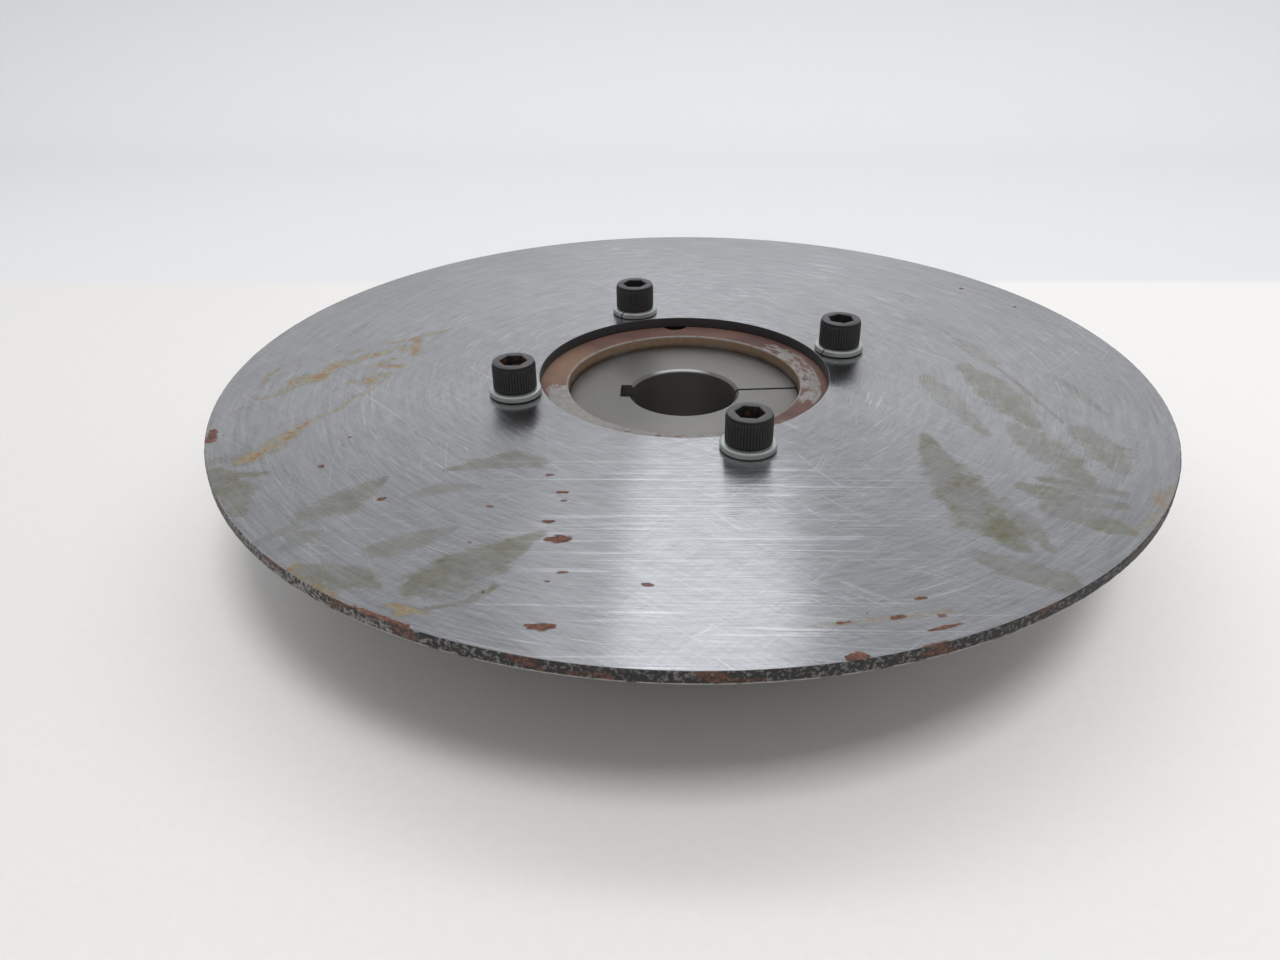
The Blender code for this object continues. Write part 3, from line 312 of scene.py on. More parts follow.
class Finish:
    """A procedural material, built up from short named steps."""

    def __init__(self, name, **constants):
        self.material = bpy.data.materials.new(name)
        self.material.use_nodes = True
        self.nodes = self.material.node_tree.nodes
        self.links = self.material.node_tree.links
        self.nodes.clear()
        self.shader = self.nodes.new("ShaderNodeBsdfPrincipled")
        output = self.nodes.new("ShaderNodeOutputMaterial")
        self.links.new(self.shader.outputs["BSDF"], output.inputs["Surface"])
        self.wire(**constants)
        self.place = self.nodes.new("ShaderNodeTexCoord").outputs["Object"]
        split = self.nodes.new("ShaderNodeSeparateXYZ")
        self.links.new(self.place, split.inputs["Vector"])
        self.x, self.y, self.z = (Value(self, socket) for socket in split.outputs)
        self.radius = self.math("SQRT", self.x * self.x + self.y * self.y)
        self.cosine = self.x / self.radius
        self.sine = self.y / self.radius

    def put(self, value, socket):
        """Links a value to a socket, or sets the socket where the value is the same all over."""
        value = getattr(value, "socket", value)
        if isinstance(value, bpy.types.NodeSocket):
            self.links.new(value, socket)
        else:
            socket.default_value = value

    def node(self, kind, values=(), **settings):
        """A new node with its settings, and values for its sockets by name, number or order."""
        node = self.nodes.new(f"ShaderNode{kind}")
        for name, setting in settings.items():
            setattr(node, name, setting)
        for key, value in values.items() if isinstance(values, dict) else enumerate(values):
            self.put(value, node.inputs[key])
        return node

    def value(self, kind, output, values, **settings):
        """A new node's output, as a number."""
        return Value(self, self.node(kind, values, **settings).outputs[output])

    def math(self, operation, *values):
        return self.value("Math", "Value", values, operation=operation)

    def most(self, first, *others):
        """The greatest of some values."""
        for value in others:
            first = self.math("MAXIMUM", first, value)
        return first

    def point(self, x, y, z):
        return self.node("CombineXYZ", (x, y, z)).outputs["Vector"]

    def noise(self, vector, scale=1.0, detail=3.0, roughness=0.55):
        values = {"Vector": vector, "Scale": scale, "Detail": detail, "Roughness": roughness}
        return self.value("TexNoise", 0, values)

    def grain(self, scale, **options):
        """Even noise, at so many features a metre."""
        return self.noise(self.place, scale, **options)

    def drawn_round(self, across, around, **options):
        """Noise drawn out round the axis, with its finer way along another value."""
        return self.noise(self.point(across, self.cosine * around, self.sine * around), **options)

    def turning(self, radial, around, height=0.0, **options):
        """Noise like the marks left by turning."""
        return self.drawn_round(self.radius * radial + self.z * height, around, **options)

    def off_axis(self, x, y):
        """How far along X, along Y and in all a point lies from an upright axis."""
        dx = self.x - x
        dy = self.y - y
        return dx, dy, self.math("SQRT", dx * dx + dy * dy)

    def swirl(self, x, y, radial, around, **options):
        """Noise drawn out round an upright axis at x, y."""
        dx, dy, distance = self.off_axis(x, y)
        vector = self.point(distance * radial, dx / distance * around, dy / distance * around)
        return self.noise(vector, **options)

    def lines(self, degrees, along, across, **options):
        """Noise drawn out along a straight direction in the disc's plane."""
        c, s = math.cos(math.radians(degrees)), math.sin(math.radians(degrees))
        vector = self.point(
            (self.x * c + self.y * s) * along,
            (self.x * -s + self.y * c) * across,
            self.z * along,
        )
        return self.noise(vector, **options)

    def step(self, value, low, high):
        """0 below low, 1 above high, smooth between; low above high turns it round."""
        ends = {"From Min": min(low, high), "From Max": max(low, high)}
        ends["To Min"], ends["To Max"] = (0.0, 1.0) if low < high else (1.0, 0.0)
        return self.value("MapRange", "Result", {"Value": value, **ends}, interpolation_type="SMOOTHSTEP")

    def span(self, value, low, high):
        """A 0 to 1 value spread from low to high."""
        return self.value("MapRange", "Result", {"Value": value, "To Min": low, "To Max": high})

    def facing(self, degrees):
        """The cosine of the angle round the axis between a point and a direction."""
        angle = math.radians(degrees)
        return self.cosine * math.cos(angle) + self.sine * math.sin(angle)

    def field(self, name):
        """A value stored on the mesh's points."""
        return self.value("Attribute", "Fac", (), attribute_name=name)

    def colour(self, factor, low, high):
        """A colour between two colours."""
        ends = [(*end, 1.0) if isinstance(end, tuple) else end for end in (low, high)]
        return self.node("Mix", {0: factor, 6: ends[0], 7: ends[1]}, data_type="RGBA").outputs[2]

    def mix(self, factor, low, high):
        """A value between two values."""
        return self.value("Mix", 0, {0: factor, 2: low, 3: high})

    def shade(self, colour, factor):
        """A colour, made lighter or darker by a factor."""
        return self.node("VectorMath", {0: colour, "Scale": factor}, operation="SCALE").outputs[0]

    def bump(self, height, depth, strength=0.8, normal=None):
        values = {"Strength": strength, "Distance": depth, "Height": height}
        if normal is not None:
            values["Normal"] = normal
        return self.node("Bump", values).outputs["Normal"]

    def brushed_round(self):
        """Points the shader's grain round the axis."""
        tangent = self.node("Tangent", direction_type="RADIAL", axis="Z")
        self.wire(Tangent=tangent.outputs["Tangent"])

    def wire(self, **sockets):
        """Sets or links sockets of the shader."""
        for socket, value in sockets.items():
            self.put(value, self.shader.inputs[socket.replace("_", " ")])
        return self.material


# ---------------------------------------------------------------- clutch disc

DISC_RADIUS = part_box("clutch_disc")[1].x
DISC_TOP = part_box("clutch_disc")[1].z
DISC_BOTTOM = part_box("clutch_disc")[0].z
DISC_BORE_RADIUS = 49.5 * MM
DISC_EDGE_FILLET = 0.35 * MM
DISC_TOP_RINGS = 150
DISC_RIM_LEVELS = 5
CLEARANCE_HOLE_RADIUS = 5.2 * MM
SCREW_CIRCLE_RADIUS = 58.75 * MM

# The rim's chips: how far in from the rim they reach, how deep the wear and the chips are in
# millimetres, and how many waves make them, with how many turns each.
CHIP_REACH = 0.6 * MM
RIM_WEAR = 0.06
CHIP_DEPTH = 0.10
CHIP_WAVES = 14
CHIP_TURNS = (40, 260)
LOWER_CHIPS_SEED = 3
UPPER_CHIPS_SEED = 4

# Marks on the disc: a strength, then points (x, y, half width) in millimetres.
OIL_STAINS = [
    (0.5, [(100, 30, 2.0), (103, 20, 4.2), (107, 8, 2.5)]),
    (0.85, [(97, 4, 3.0), (101, -10, 6.5), (104, -24, 7.0), (108, -40, 2.5)]),
    (0.5, [(82, -5, 3.0), (84, -18, 5.0), (88, -32, 3.5), (92, -46, 1.2)]),
    (0.75, [(101, -40, 2.5), (105, -50, 6.5), (109, -62, 6.0), (113, -75, 2.0)]),
    (1.0, [(73, -47, 1.5), (73.5, -60, 4.8), (76, -78, 7.6), (80, -94, 8.4), (85, -106, 3.0)]),
    (0.75, [(121, -43, 4.0), (124, -56, 6.5), (124, -66, 3.0)]),
    (0.8, [(93, -76, 2.0), (104, -82, 5.5), (117, -86, 2.2)]),
    (0.8, [(98, -88, 3.5), (108, -94, 5.0), (115, -99, 1.8)]),
    (0.7, [(100, -72, 1.5), (112, -77, 3.2), (120, -80, 1.2)]),
    (0.7, [(87, -83, 1.0), (89, -95, 3.6), (92, -107, 1.5)]),
    (0.85, [(73, -110, 2.0), (80, -115, 5.2), (90, -121, 4.2), (95, -126, 1.0)]),
    (0.7, [(105, 14, 0.7), (111, -8, 0.9), (117, -37, 0.7)]),
    (0.5, [(124, -2, 1.6), (129, -16, 2.4), (132, -31, 1.0)]),
    (0.28, [(88, 76, 3.0), (92, 66, 5.0)]),
    (0.32, [(88, 48, 4.0), (95, 41, 7.0), (100, 36, 4.0)]),
    (0.75, [(-68, -71, 0.8), (-59, -67.5, 3.4), (-49, -65, 4.8), (-43, -66, 3.8)]),
    (0.5, [(-75, -86, 1.5), (-66, -81, 3.2), (-57, -81, 1.6)]),
    (0.85, [(-99, -96, 4.2), (-94, -91, 6.0), (-89, -84, 4.6), (-84, -76, 1.2)]),
    (0.9, [(-134, -73, 3.0), (-130, -81, 6.5), (-124, -84, 5.5), (-119, -95, 2.6)]),
    (0.85, [(-128, -76, 2.0), (-119, -74, 1.2)]),
    (0.9, [(-64, -128, 3.6), (-57, -123, 8.0), (-49, -116, 7.2), (-36, -103, 1.2)]),
    (0.8, [(-60, -136, 0.6), (-50, -133, 1.0), (-44, -126, 0.8)]),
    (0.65, [(-78, -113, 2.6), (-72, -110, 4.6), (-66, -106, 3.6), (-59, -101, 1.0)]),
    (0.85, [(-95, -121, 2.0), (-87, -123, 5.4), (-79, -124, 5.0), (-73, -127, 1.6)]),
    (0.5, [(-109, -110, 1.2), (-104, -104, 1.6), (-98, -99, 0.8)]),
    (0.7, [(-101, -113, 1.2), (-98, -107, 3.6), (-94, -104, 1.2)]),
    (0.5, [(-131, -66, 2.4), (-139, -69, 3.0)]),
]
RUST_STREAKS = [
    (1.0, [(-90, 35, 0.5), (-99, 28, 0.8), (-109, 21.5, 0.7)]),
    (0.8, [(-99, 26, 1.5), (-98, 18, 1.8), (-97, 12, 1.2)]),
    (0.6, [(-103, 19, 2.0), (-101, 14, 1.2)]),
    (0.9, [(-107, 15, 1.4), (-111, 11.5, 1.8), (-115.5, 8.4, 1.4)]),
    (0.9, [(-116, 5.5, 1.6), (-121, 3.5, 2.4), (-124, -3.5, 2.6), (-125, -8, 2.2)]),
    (1.0, [(-125, -9, 2.6), (-129, -10, 3.6), (-132.5, -12, 2.2)]),
    (0.9, [(-131, -15.5, 0.8), (-133.6, -19, 1.4)]),
    (0.6, [(-133, -21, 0.6), (-139, -26, 0.8), (-142, -24, 0.9)]),
    (0.6, [(-142, -17, 0.8), (-143.5, -6.5, 0.9), (-141, -0.5, 0.6)]),
    (0.4, [(-142.5, -32, 0.8), (-144.6, -35, 0.6)]),
    (0.6, [(-117, 15, 1.0), (-120, 13, 1.3)]),
    (0.5, [(-127, 7.5, 0.9), (-129, 6, 0.9)]),
    (0.7, [(-135, 1.5, 1.0)]),
    (0.9, [(-99, 2, 1.4), (-103, 1, 1.8)]),
    (0.8, [(-106, 5, 1.6), (-108, 1.5, 1.8)]),
    (0.9, [(-103.5, 7.8, 1.4)]),
    (0.8, [(-101.5, -5, 1.3), (-105, -6.5, 1.7)]),
    (1.0, [(-107, -11, 2.9)]),
    (0.6, [(-111, -12, 0.9), (-113.5, -12, 1.1)]),
    (0.5, [(-101, -6, 0.6), (-105, -19, 0.9), (-109.5, -25.5, 1.0), (-110.5, -32, 1.0), (-119, -43, 0.9)]),
    (0.9, [(-117.5, -41.5, 1.0), (-120, -48, 2.0), (-122, -53.6, 2.8), (-123, -58.5, 3.2)]),
    (1.0, [(-125, -61, 1.6), (-127.5, -65, 3.2), (-129.5, -68, 1.8)]),
    (0.4, [(-126.5, -45, 0.6), (-124, -41.5, 0.7)]),
    (0.8, [(-70, -135, 0.6), (-67, -134.3, 0.9), (-64, -135.2, 0.8), (-58.5, -137.5, 0.6)]),
    (1.0, [(-65, -137.4, 1.3), (-62.5, -137, 1.0)]),
    (0.9, [(-95, -119.5, 1.3), (-96.5, -121.5, 1.0)]),
    (0.7, [(-96, -121.5, 0.6), (-88, -127, 0.7), (-81.5, -131.5, 0.8)]),
    (0.6, [(128, -83, 1.8), (130, -78, 1.0)]),
    (0.45, [(115, -99, 1.0), (126, -90, 1.6), (134, -76, 1.0)]),
    (0.5, [(30, -139.2, 0.6), (45, -136.5, 1.0), (62, -133.0, 0.6)]),
]
RUST_SPOTS = [
    (0.8, [(-104.6, -69.7, 1.2)]),
    (0.7, [(-101.5, -51.8, 0.9)]),
    (0.5, [(-102.3, -56.8, 0.5)]),
    (0.8, [(-82.6, -87.7, 1.0), (-81.4, -86.9, 0.8)]),
    (0.7, [(-52.4, -90.4, 0.8), (-51.0, -90.6, 0.7)]),
    (0.7, [(-38.4, -73.2, 0.7), (-36.8, -73.2, 0.7)]),
    (0.8, [(-34.3, -82.6, 0.8), (-31.8, -82.6, 0.9)]),
    (0.7, [(-32.6, -87.1, 0.6), (-31.4, -87.1, 0.6)]),
    (0.8, [(-36.2, -97.6, 0.8), (-33.8, -97.5, 0.9)]),
    (1.0, [(-34.2, -105.9, 1.2), (-31.5, -105.8, 2.2), (-29.2, -105.6, 1.5)]),
    (0.6, [(-29.8, -120.2, 0.7), (-28.0, -120.2, 0.6)]),
    (0.6, [(-32.6, -124.0, 0.6), (-31.4, -124.0, 0.5)]),
    (0.5, [(-54.1, -107.9, 0.8)]),
    (0.5, [(-67.4, -124.0, 0.6)]),
    (0.6, [(-46.7, -128.8, 0.8)]),
    (0.9, [(-34.6, -141.2, 1.0), (-31.5, -141.4, 1.7), (-28.6, -141.2, 1.0)]),
    (0.6, [(-9.0, -124.8, 0.8), (-7.2, -124.8, 0.9)]),
    (0.8, [(35.4, -138.1, 0.8), (36.4, -138.0, 0.7)]),
    (0.6, [(38.4, -137.5, 0.6)]),
    (0.6, [(46.4, -136.6, 0.6)]),
    (0.9, [(48.2, -135.8, 0.8), (50.6, -135.0, 0.9)]),
    (0.6, [(42.7, -134.5, 0.6)]),
    (0.6, [(45.6, -129.9, 0.6)]),
    (0.8, [(55.0, -128.5, 0.9), (56.6, -128.1, 0.9)]),
    (0.7, [(58.6, -134.8, 0.7), (60.0, -134.5, 0.7)]),
    (0.9, [(54.8, -140.4, 0.4), (59.0, -138.9, 0.8), (63.6, -137.2, 0.4)]),
    (0.5, [(63.9, -124.1, 0.6)]),
    (1.0, [(36.6, -149.8, 1.5), (39.2, -149.3, 1.8)]),
    (0.9, [(-145.4, -48.3, 1.4), (-143.6, -55.0, 2.0)]),
    (0.7, [(-141.0, -50.9, 0.7)]),
    (0.7, [(114, 84, 1.2)]),
    (0.6, [(130, 63, 1.0)]),
    (0.8, [(-76.0, -135.6, 1.0), (-69.0, -139.2, 1.4), (-62.0, -142.5, 1.4)]),
    (0.6, [(53.0, -146.2, 0.9), (58.0, -144.2, 1.1)]),
]


def stroke_field(places, strokes):
    """How far inside the nearest stroke each place lies, -1 to 1 about its edge, and its strength."""
    best = np.full(len(places), -1.0)
    depth = np.zeros(len(places))
    for strength, points in strokes:
        points = np.array(points, dtype=float) * MM
        inside = np.full(len(places), -1.0)
        for first, last in zip(points, points[1:] if len(points) > 1 else points):
            run = last[:2] - first[:2]
            length = max(float(run @ run), 1e-12)
            along = np.clip(((places - first[:2]) @ run) / length, 0.0, 1.0)
            nearest = first[:2] + along[:, None] * run
            half_width = first[2] + along * (last[2] - first[2])
            inside = np.maximum(inside, 1.0 - np.linalg.norm(places - nearest, axis=1) / half_width)
        depth = np.where(inside > best, strength, depth)
        best = np.maximum(best, inside)
    return best, depth


def waves(angles, seed):
    """A repeatable wavy line round the disc, about -1 to 1."""
    chance = np.random.default_rng(seed)
    total = np.zeros_like(angles)
    for _ in range(CHIP_WAVES):
        turns = chance.integers(*CHIP_TURNS)
        total += np.sin(angles * turns + chance.uniform(0, math.tau)) * chance.uniform(0.4, 1.0)
    return total / math.sqrt(CHIP_WAVES)


def chip_rim(spots):
    """Moves the rim's points inward, worn evenly and chipped by waves round both of its edges."""
    radius = np.hypot(spots[:, 0], spots[:, 1])
    angle = np.arctan2(spots[:, 1], spots[:, 0])
    at_rim = np.clip((radius - (DISC_RADIUS - CHIP_REACH)) / CHIP_REACH, 0.0, 1.0)
    level = (spots[:, 2] - DISC_BOTTOM) / (DISC_TOP - DISC_BOTTOM)
    chips = waves(angle, LOWER_CHIPS_SEED) * (1 - level) + waves(angle, UPPER_CHIPS_SEED) * level
    sink = at_rim * (RIM_WEAR + CHIP_DEPTH * np.clip(chips, 0.0, 2.0)) * MM
    spots[:, :2] *= (1.0 - sink / radius)[:, None]


def store_marks(mesh, places):
    """Stores how far inside each kind of mark the mesh's points lie, and how strong it is there."""
    for name, strokes in (("oil", OIL_STAINS), ("streak", RUST_STREAKS), ("spot", RUST_SPOTS)):
        for layer_name, values in zip((name, f"{name}_depth"), stroke_field(places, strokes)):
            layer = mesh.attributes.new(layer_name, "FLOAT", "POINT")
            layer.data.foreach_set("value", values)


def disc_mesh():
    """The disc: a fine grid on top for its stains, chipped edges, and four holes."""
    fillet = DISC_EDGE_FILLET
    radii = np.linspace(DISC_RADIUS - 2 * fillet, DISC_BORE_RADIUS + 2 * fillet, DISC_TOP_RINGS)
    rim_levels = np.linspace(DISC_TOP - 2 * fillet, DISC_BOTTOM + 2 * fillet, DISC_RIM_LEVELS)
    section = rounded(ring_corners(DISC_BOTTOM, DISC_TOP, DISC_RADIUS, DISC_BORE_RADIUS, fillet))
    arc_points = FILLET_STEPS + 1
    section = (
        section[:arc_points]
        + [Vector((DISC_RADIUS, z)) for z in rim_levels]
        + section[arc_points:]
        + [Vector((r, DISC_TOP)) for r in radii[::-1]]
    )
    mesh = ring_mesh("clutch_disc", turned_rings(section, DISC_SIDES))
    places = [polar(SCREW_CIRCLE_RADIUS, a) for a in SCREW_ANGLES]
    holes = cylinder_mesh(CLEARANCE_HOLE_RADIUS, DISC_BOTTOM - CUT_PAST, DISC_TOP + CUT_PAST, places)
    mesh = cut(mesh, holes)
    spots = np.empty(len(mesh.vertices) * 3)
    mesh.vertices.foreach_get("co", spots)
    spots = spots.reshape(-1, 3)
    chip_rim(spots)
    mesh.vertices.foreach_set("co", spots.reshape(-1))
    mesh.update()
    store_marks(mesh, spots[:, :2])
    return mesh


STEEL = (0.42, 0.424, 0.437)
OIL_GREY = (0.225, 0.217, 0.165)
OIL_OLIVE = (0.235, 0.212, 0.105)
STREAK_HALO = (0.30, 0.285, 0.20)
STREAK_PALE = (0.35, 0.27, 0.125)
STREAK_DARK = (0.27, 0.145, 0.070)
SPOT_DARK = (0.075, 0.038, 0.030)
SPOT_PALE = (0.175, 0.078, 0.050)
UNDERSIDE_FILM = (0.16, 0.10, 0.07)
SCALE_BLACK = (0.032, 0.030, 0.031)
CHIPPED_GREY = (0.25, 0.245, 0.235)
RIM_RUST_DARK = (0.06, 0.034, 0.028)
RIM_RUST_PALE = (0.16, 0.075, 0.048)
LIP_GREY = (0.42, 0.41, 0.375)


def disc_scratches(f):
    """The disc's deep scratches: level ones at the front, slanted, round and swirled ones all over."""
    near_front = f.step(f.y, -0.045, -0.075) * f.step(f.math("ABSOLUTE", f.x + -0.01), 0.09, 0.03)
    level = f.step(f.lines(1, 17.0, 780.0, detail=2.0), 0.57, 0.68) * near_front
    slanted = f.step(f.lines(-47, 8.0, 950.0, detail=2.0), 0.66, 0.72) * f.step(f.grain(22.0), 0.48, 0.6)
    turned_in = f.step(f.turning(1000.0, 5.0, detail=2.0), 0.62, 0.72) * f.step(f.grain(30.0), 0.42, 0.6)
    swirls = f.most(
        f.step(f.swirl(0.105, -0.030, 1500.0, 3.2, detail=2.0), 0.62, 0.72),
        f.step(f.swirl(0.050, 0.085, 1500.0, 3.4, detail=2.0), 0.62, 0.72),
        f.step(f.swirl(-0.085, -0.015, 1500.0, 3.3, detail=2.0), 0.63, 0.73),
    )
    swirls = swirls * f.step(f.grain(16.0), 0.42, 0.62) * 0.55
    return near_front, f.most(level, slanted * 0.8, turned_in, swirls)


def rim_colour(f, rim, speck):
    """The disc's rim: black scale, chipped grey and rusty in patches, with a bare lower lip."""
    around = f.point(f.cosine * 11.0, f.sine * 11.0, f.z * 250.0)
    patch = f.step(f.noise(around, detail=6.0) + f.facing(212) * 0.05, 0.585, 0.645)
    worn_side = f.step(f.facing(205), 0.55, 0.9)
    chipped = rim * f.step(f.grain(1000.0, detail=5.0) + worn_side * 0.06, 0.50, 0.64)
    scale = f.colour(chipped * (worn_side * 0.43 + 0.57), SCALE_BLACK, CHIPPED_GREY)
    rust = f.colour(f.step(speck, 0.4, 0.6), RIM_RUST_DARK, RIM_RUST_PALE)
    scale = f.colour(patch * rim * 0.8, scale, rust)
    lip = f.step(f.z, DISC_BOTTOM + 0.65 * MM, DISC_BOTTOM + 0.35 * MM)
    lip = lip * f.step(f.grain(300.0), 0.35, 0.5) * rim
    return f.colour(lip * 0.8, scale, LIP_GREY)


def disc_marks(f, fine, mottle, blotch):
    """How much oil, rust streak, its halo and rust spot each point has, all with ragged edges."""
    ragged = f.noise(f.point(f.x * 130.0, f.y * 190.0, 0.0), detail=6.0, roughness=0.65) - 0.5
    torn = f.noise(f.point(f.x * 380.0, f.y * 1150.0, 0.0), detail=4.0) - 0.5
    oil_field = f.field("oil")
    stained = f.step(oil_field + ragged * 1.9 + torn * 0.8, -0.30, 0.60)
    outline = stained * f.step(oil_field + ragged, 0.50, 0.10)
    oil = stained * f.span(blotch, 0.62, 1.12) + outline * 0.45
    oil = oil * f.field("oil_depth") * f.span(mottle, 0.30, 1.35) * f.span(fine, 0.65, 1.3)
    streak_field = f.field("streak")
    streak_depth = f.field("streak_depth")
    streak = f.step(streak_field + ragged * 1.6 + torn * 1.2, -0.15, 0.65)
    streak = streak * streak_depth * f.step(mottle, 0.34, 0.56)
    halo = f.step(streak_field + ragged * 1.2, -1.0, 0.4) * streak_depth * 0.55
    spot = f.step(f.field("spot") + torn * 1.6, 0.02, 0.30) * f.span(f.field("spot_depth"), 0.55, 1.1)
    return oil, streak, halo, spot


def ground_steel_finish():
    """Ground and hand-rubbed steel, with oil stains, rust streaks and spots, a scaled rim, and painted shade
    towards its left and right sides.
    """
    f = Finish("ground_steel", Anisotropic=0.92, Anisotropic_Rotation=0.25)
    f.brushed_round()
    fine = f.turning(1300.0, 11.0, detail=3.0)
    coarse = f.turning(520.0, 8.0, detail=4.0)
    crossed = f.lines(-38, 40.0, 950.0, detail=3.0)
    crossed_back = f.lines(52, 40.0, 900.0, detail=3.0)
    level = f.lines(1, 14.0, 900.0, detail=3.0)
    near_front, scratches = disc_scratches(f)
    cloud = f.grain(14.0, detail=4.0)
    speck = f.grain(1100.0, detail=3.0)
    tone = (
        f.span(cloud, 0.90, 1.10) + f.span(coarse, -0.18, 0.18) + f.span(fine, -0.30, 0.30)
        + f.span(crossed, -0.16, 0.16) + f.span(crossed_back, -0.11, 0.11) + scratches * 0.34
        # Painted shade: the disc darkens towards its left and right sides.
        + f.step(f.x, -0.03, -0.14) * -0.13 + f.step(f.x, 0.085, 0.150) * -0.11
    )
    steel = f.shade(STEEL, tone)

    mottle = f.grain(330.0, detail=5.0)
    blotch = f.step(f.grain(75.0, detail=5.0, roughness=0.65), 0.36, 0.64)
    oil, streak, halo, spot = disc_marks(f, fine, mottle, blotch)
    rim = f.step(f.radius, DISC_RADIUS - 0.5 * MM, DISC_RADIUS - 0.28 * MM)
    bore = f.step(f.radius, DISC_BORE_RADIUS + 0.3 * MM, DISC_BORE_RADIUS + 0.12 * MM)
    edge = f.most(rim, bore)
    below = f.step(f.z, DISC_TOP - 1.2 * MM, DISC_TOP - 2.0 * MM)
    film = below * f.step(f.grain(35.0, detail=5.0), 0.42, 0.75) * 0.65

    olive = f.colour(blotch * mottle, OIL_GREY, OIL_OLIVE)
    colour = f.colour(oil * 0.85, steel, f.shade(olive, tone))
    colour = f.colour(halo, colour, f.shade(STREAK_HALO, tone))
    colour = f.colour(streak * 0.9, colour, f.colour(f.step(mottle, 0.42, 0.62), STREAK_PALE, STREAK_DARK))
    colour = f.colour(spot, colour, f.colour(f.step(speck, 0.38, 0.62), SPOT_DARK, SPOT_PALE))
    colour = f.colour(film, colour, UNDERSIDE_FILM)
    colour = f.colour(edge, colour, rim_colour(f, rim, speck))

    dull = f.most(spot, edge * 0.85, streak * 0.65, film * 0.6, oil * 0.12)
    rough = f.mix(dull, f.span(fine, 0.19, 0.29) + (cloud - 0.5) * 0.12 + oil * 0.10, 0.75)
    height = (
        fine * 0.75 + coarse * 0.45 + crossed * 0.24 + crossed_back * 0.15
        + level * near_front * 3.2 + scratches * -0.8
    )
    rust_height = f.most(spot, edge * 0.9, film * 0.5) * f.grain(900.0, detail=5.0)
    normal = f.bump(rust_height, 0.35 * MM, normal=f.bump(height, 0.03 * MM, strength=1.0))
    return f.wire(Base_Color=colour, Metallic=1.0 - dull * 0.95, Roughness=rough, Normal=normal)


# ---------------------------------------------------------------- hub and bushing

PILOT_RADIUS = 52.5 * MM
FLANGE_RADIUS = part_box("hub")[1].x
FLANGE_TOP = 48.0 * MM
FLANGE_BOTTOM = 35.6 * MM
SHOULDER_RADIUS = 57.3 * MM
SHOULDER_BOTTOM = 31.2 * MM
BARREL_RADIUS = 53.8 * MM
BARREL_CHAMFER = 0.75 * MM
HUB_GROOVE_RADIUS = 51.8 * MM
HUB_GROOVE = (4.1 * MM, 6.5 * MM)
HUB_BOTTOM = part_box("hub")[0].z
HUB_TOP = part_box("hub")[1].z
BORE_RADIUS_BOTTOM = 43.05 * MM
BORE_RADIUS_TOP = 39.95 * MM
TAPPED_HOLE_RADIUS = 4.9 * MM
TAPPED_HOLE_BOTTOM = 38.0 * MM
PULLER_HOLE_RADIUS = 4.75 * MM
PULLER_CIRCLE_RADIUS = 51.3 * MM
PULLER_HOLE_BOTTOM = 39.0 * MM
HALF_HOLE_RADIUS = 6.6 * MM
HALF_HOLE_CIRCLE_RADIUS = 42.4 * MM
HALF_HOLE_TOP = 24.0 * MM
BUSHING_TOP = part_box("taper_bushing")[1].z
BUSHING_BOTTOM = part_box("taper_bushing")[0].z
BUSHING_LARGE_RADIUS = 42.85 * MM
BUSHING_SMALL_RADIUS = 39.75 * MM
SHAFT_RADIUS = 18.25 * MM
BUSHING_BORE_CHAMFER = 1.0 * MM
KEY_SEAT_WIDTH = 9.5 * MM
KEY_SEAT_REACH = 22.0 * MM
SLIT_WIDTH = 1.3 * MM
SLIT_ANGLE = math.radians(5)
SMALL_FILLET = 0.25 * MM
EDGE_FILLET = 0.5 * MM


def half_hole_cutter():
    """The half holes between bushing and hub: two for the set screws and one for jacking."""
    places = [polar(HALF_HOLE_CIRCLE_RADIUS, a) for a in (*SET_SCREW_ANGLES, JACK_ANGLE)]
    return cylinder_mesh(HALF_HOLE_RADIUS, HUB_BOTTOM - CUT_PAST, HALF_HOLE_TOP, places)


def hub_mesh():
    """The hub, turned and drilled."""
    mesh = turned("hub", [
        (PILOT_RADIUS, HUB_TOP, SMALL_FILLET),
        (PILOT_RADIUS, FLANGE_TOP, 0.0),
        (FLANGE_RADIUS, FLANGE_TOP, EDGE_FILLET),
        (FLANGE_RADIUS, FLANGE_BOTTOM, EDGE_FILLET),
        (SHOULDER_RADIUS, FLANGE_BOTTOM, EDGE_FILLET),
        (SHOULDER_RADIUS, SHOULDER_BOTTOM, SMALL_FILLET),
        (BARREL_RADIUS, SHOULDER_BOTTOM, 0.0),
        (BARREL_RADIUS, HUB_GROOVE[1], 0.0),
        (HUB_GROOVE_RADIUS, HUB_GROOVE[1], 0.0),
        (HUB_GROOVE_RADIUS, HUB_GROOVE[0], 0.0),
        (BARREL_RADIUS, HUB_GROOVE[0], 0.0),
        (BARREL_RADIUS, HUB_BOTTOM + BARREL_CHAMFER, 0.0),
        (BARREL_RADIUS - BARREL_CHAMFER, HUB_BOTTOM, 0.0),
        (BORE_RADIUS_BOTTOM, HUB_BOTTOM, 0.0),
        (BORE_RADIUS_TOP, BUSHING_TOP, 0.0),
        (BORE_RADIUS_TOP, HUB_TOP, EDGE_FILLET),
    ])
    screw_places = [polar(SCREW_CIRCLE_RADIUS, a) for a in SCREW_ANGLES]
    puller_places = [polar(PULLER_CIRCLE_RADIUS, a) for a in PULLER_ANGLES]
    tapped = cylinder_mesh(TAPPED_HOLE_RADIUS, TAPPED_HOLE_BOTTOM, HUB_TOP + CUT_PAST, screw_places)
    puller = cylinder_mesh(PULLER_HOLE_RADIUS, PULLER_HOLE_BOTTOM, HUB_TOP + CUT_PAST, puller_places)
    return cut(mesh, tapped, puller, half_hole_cutter())


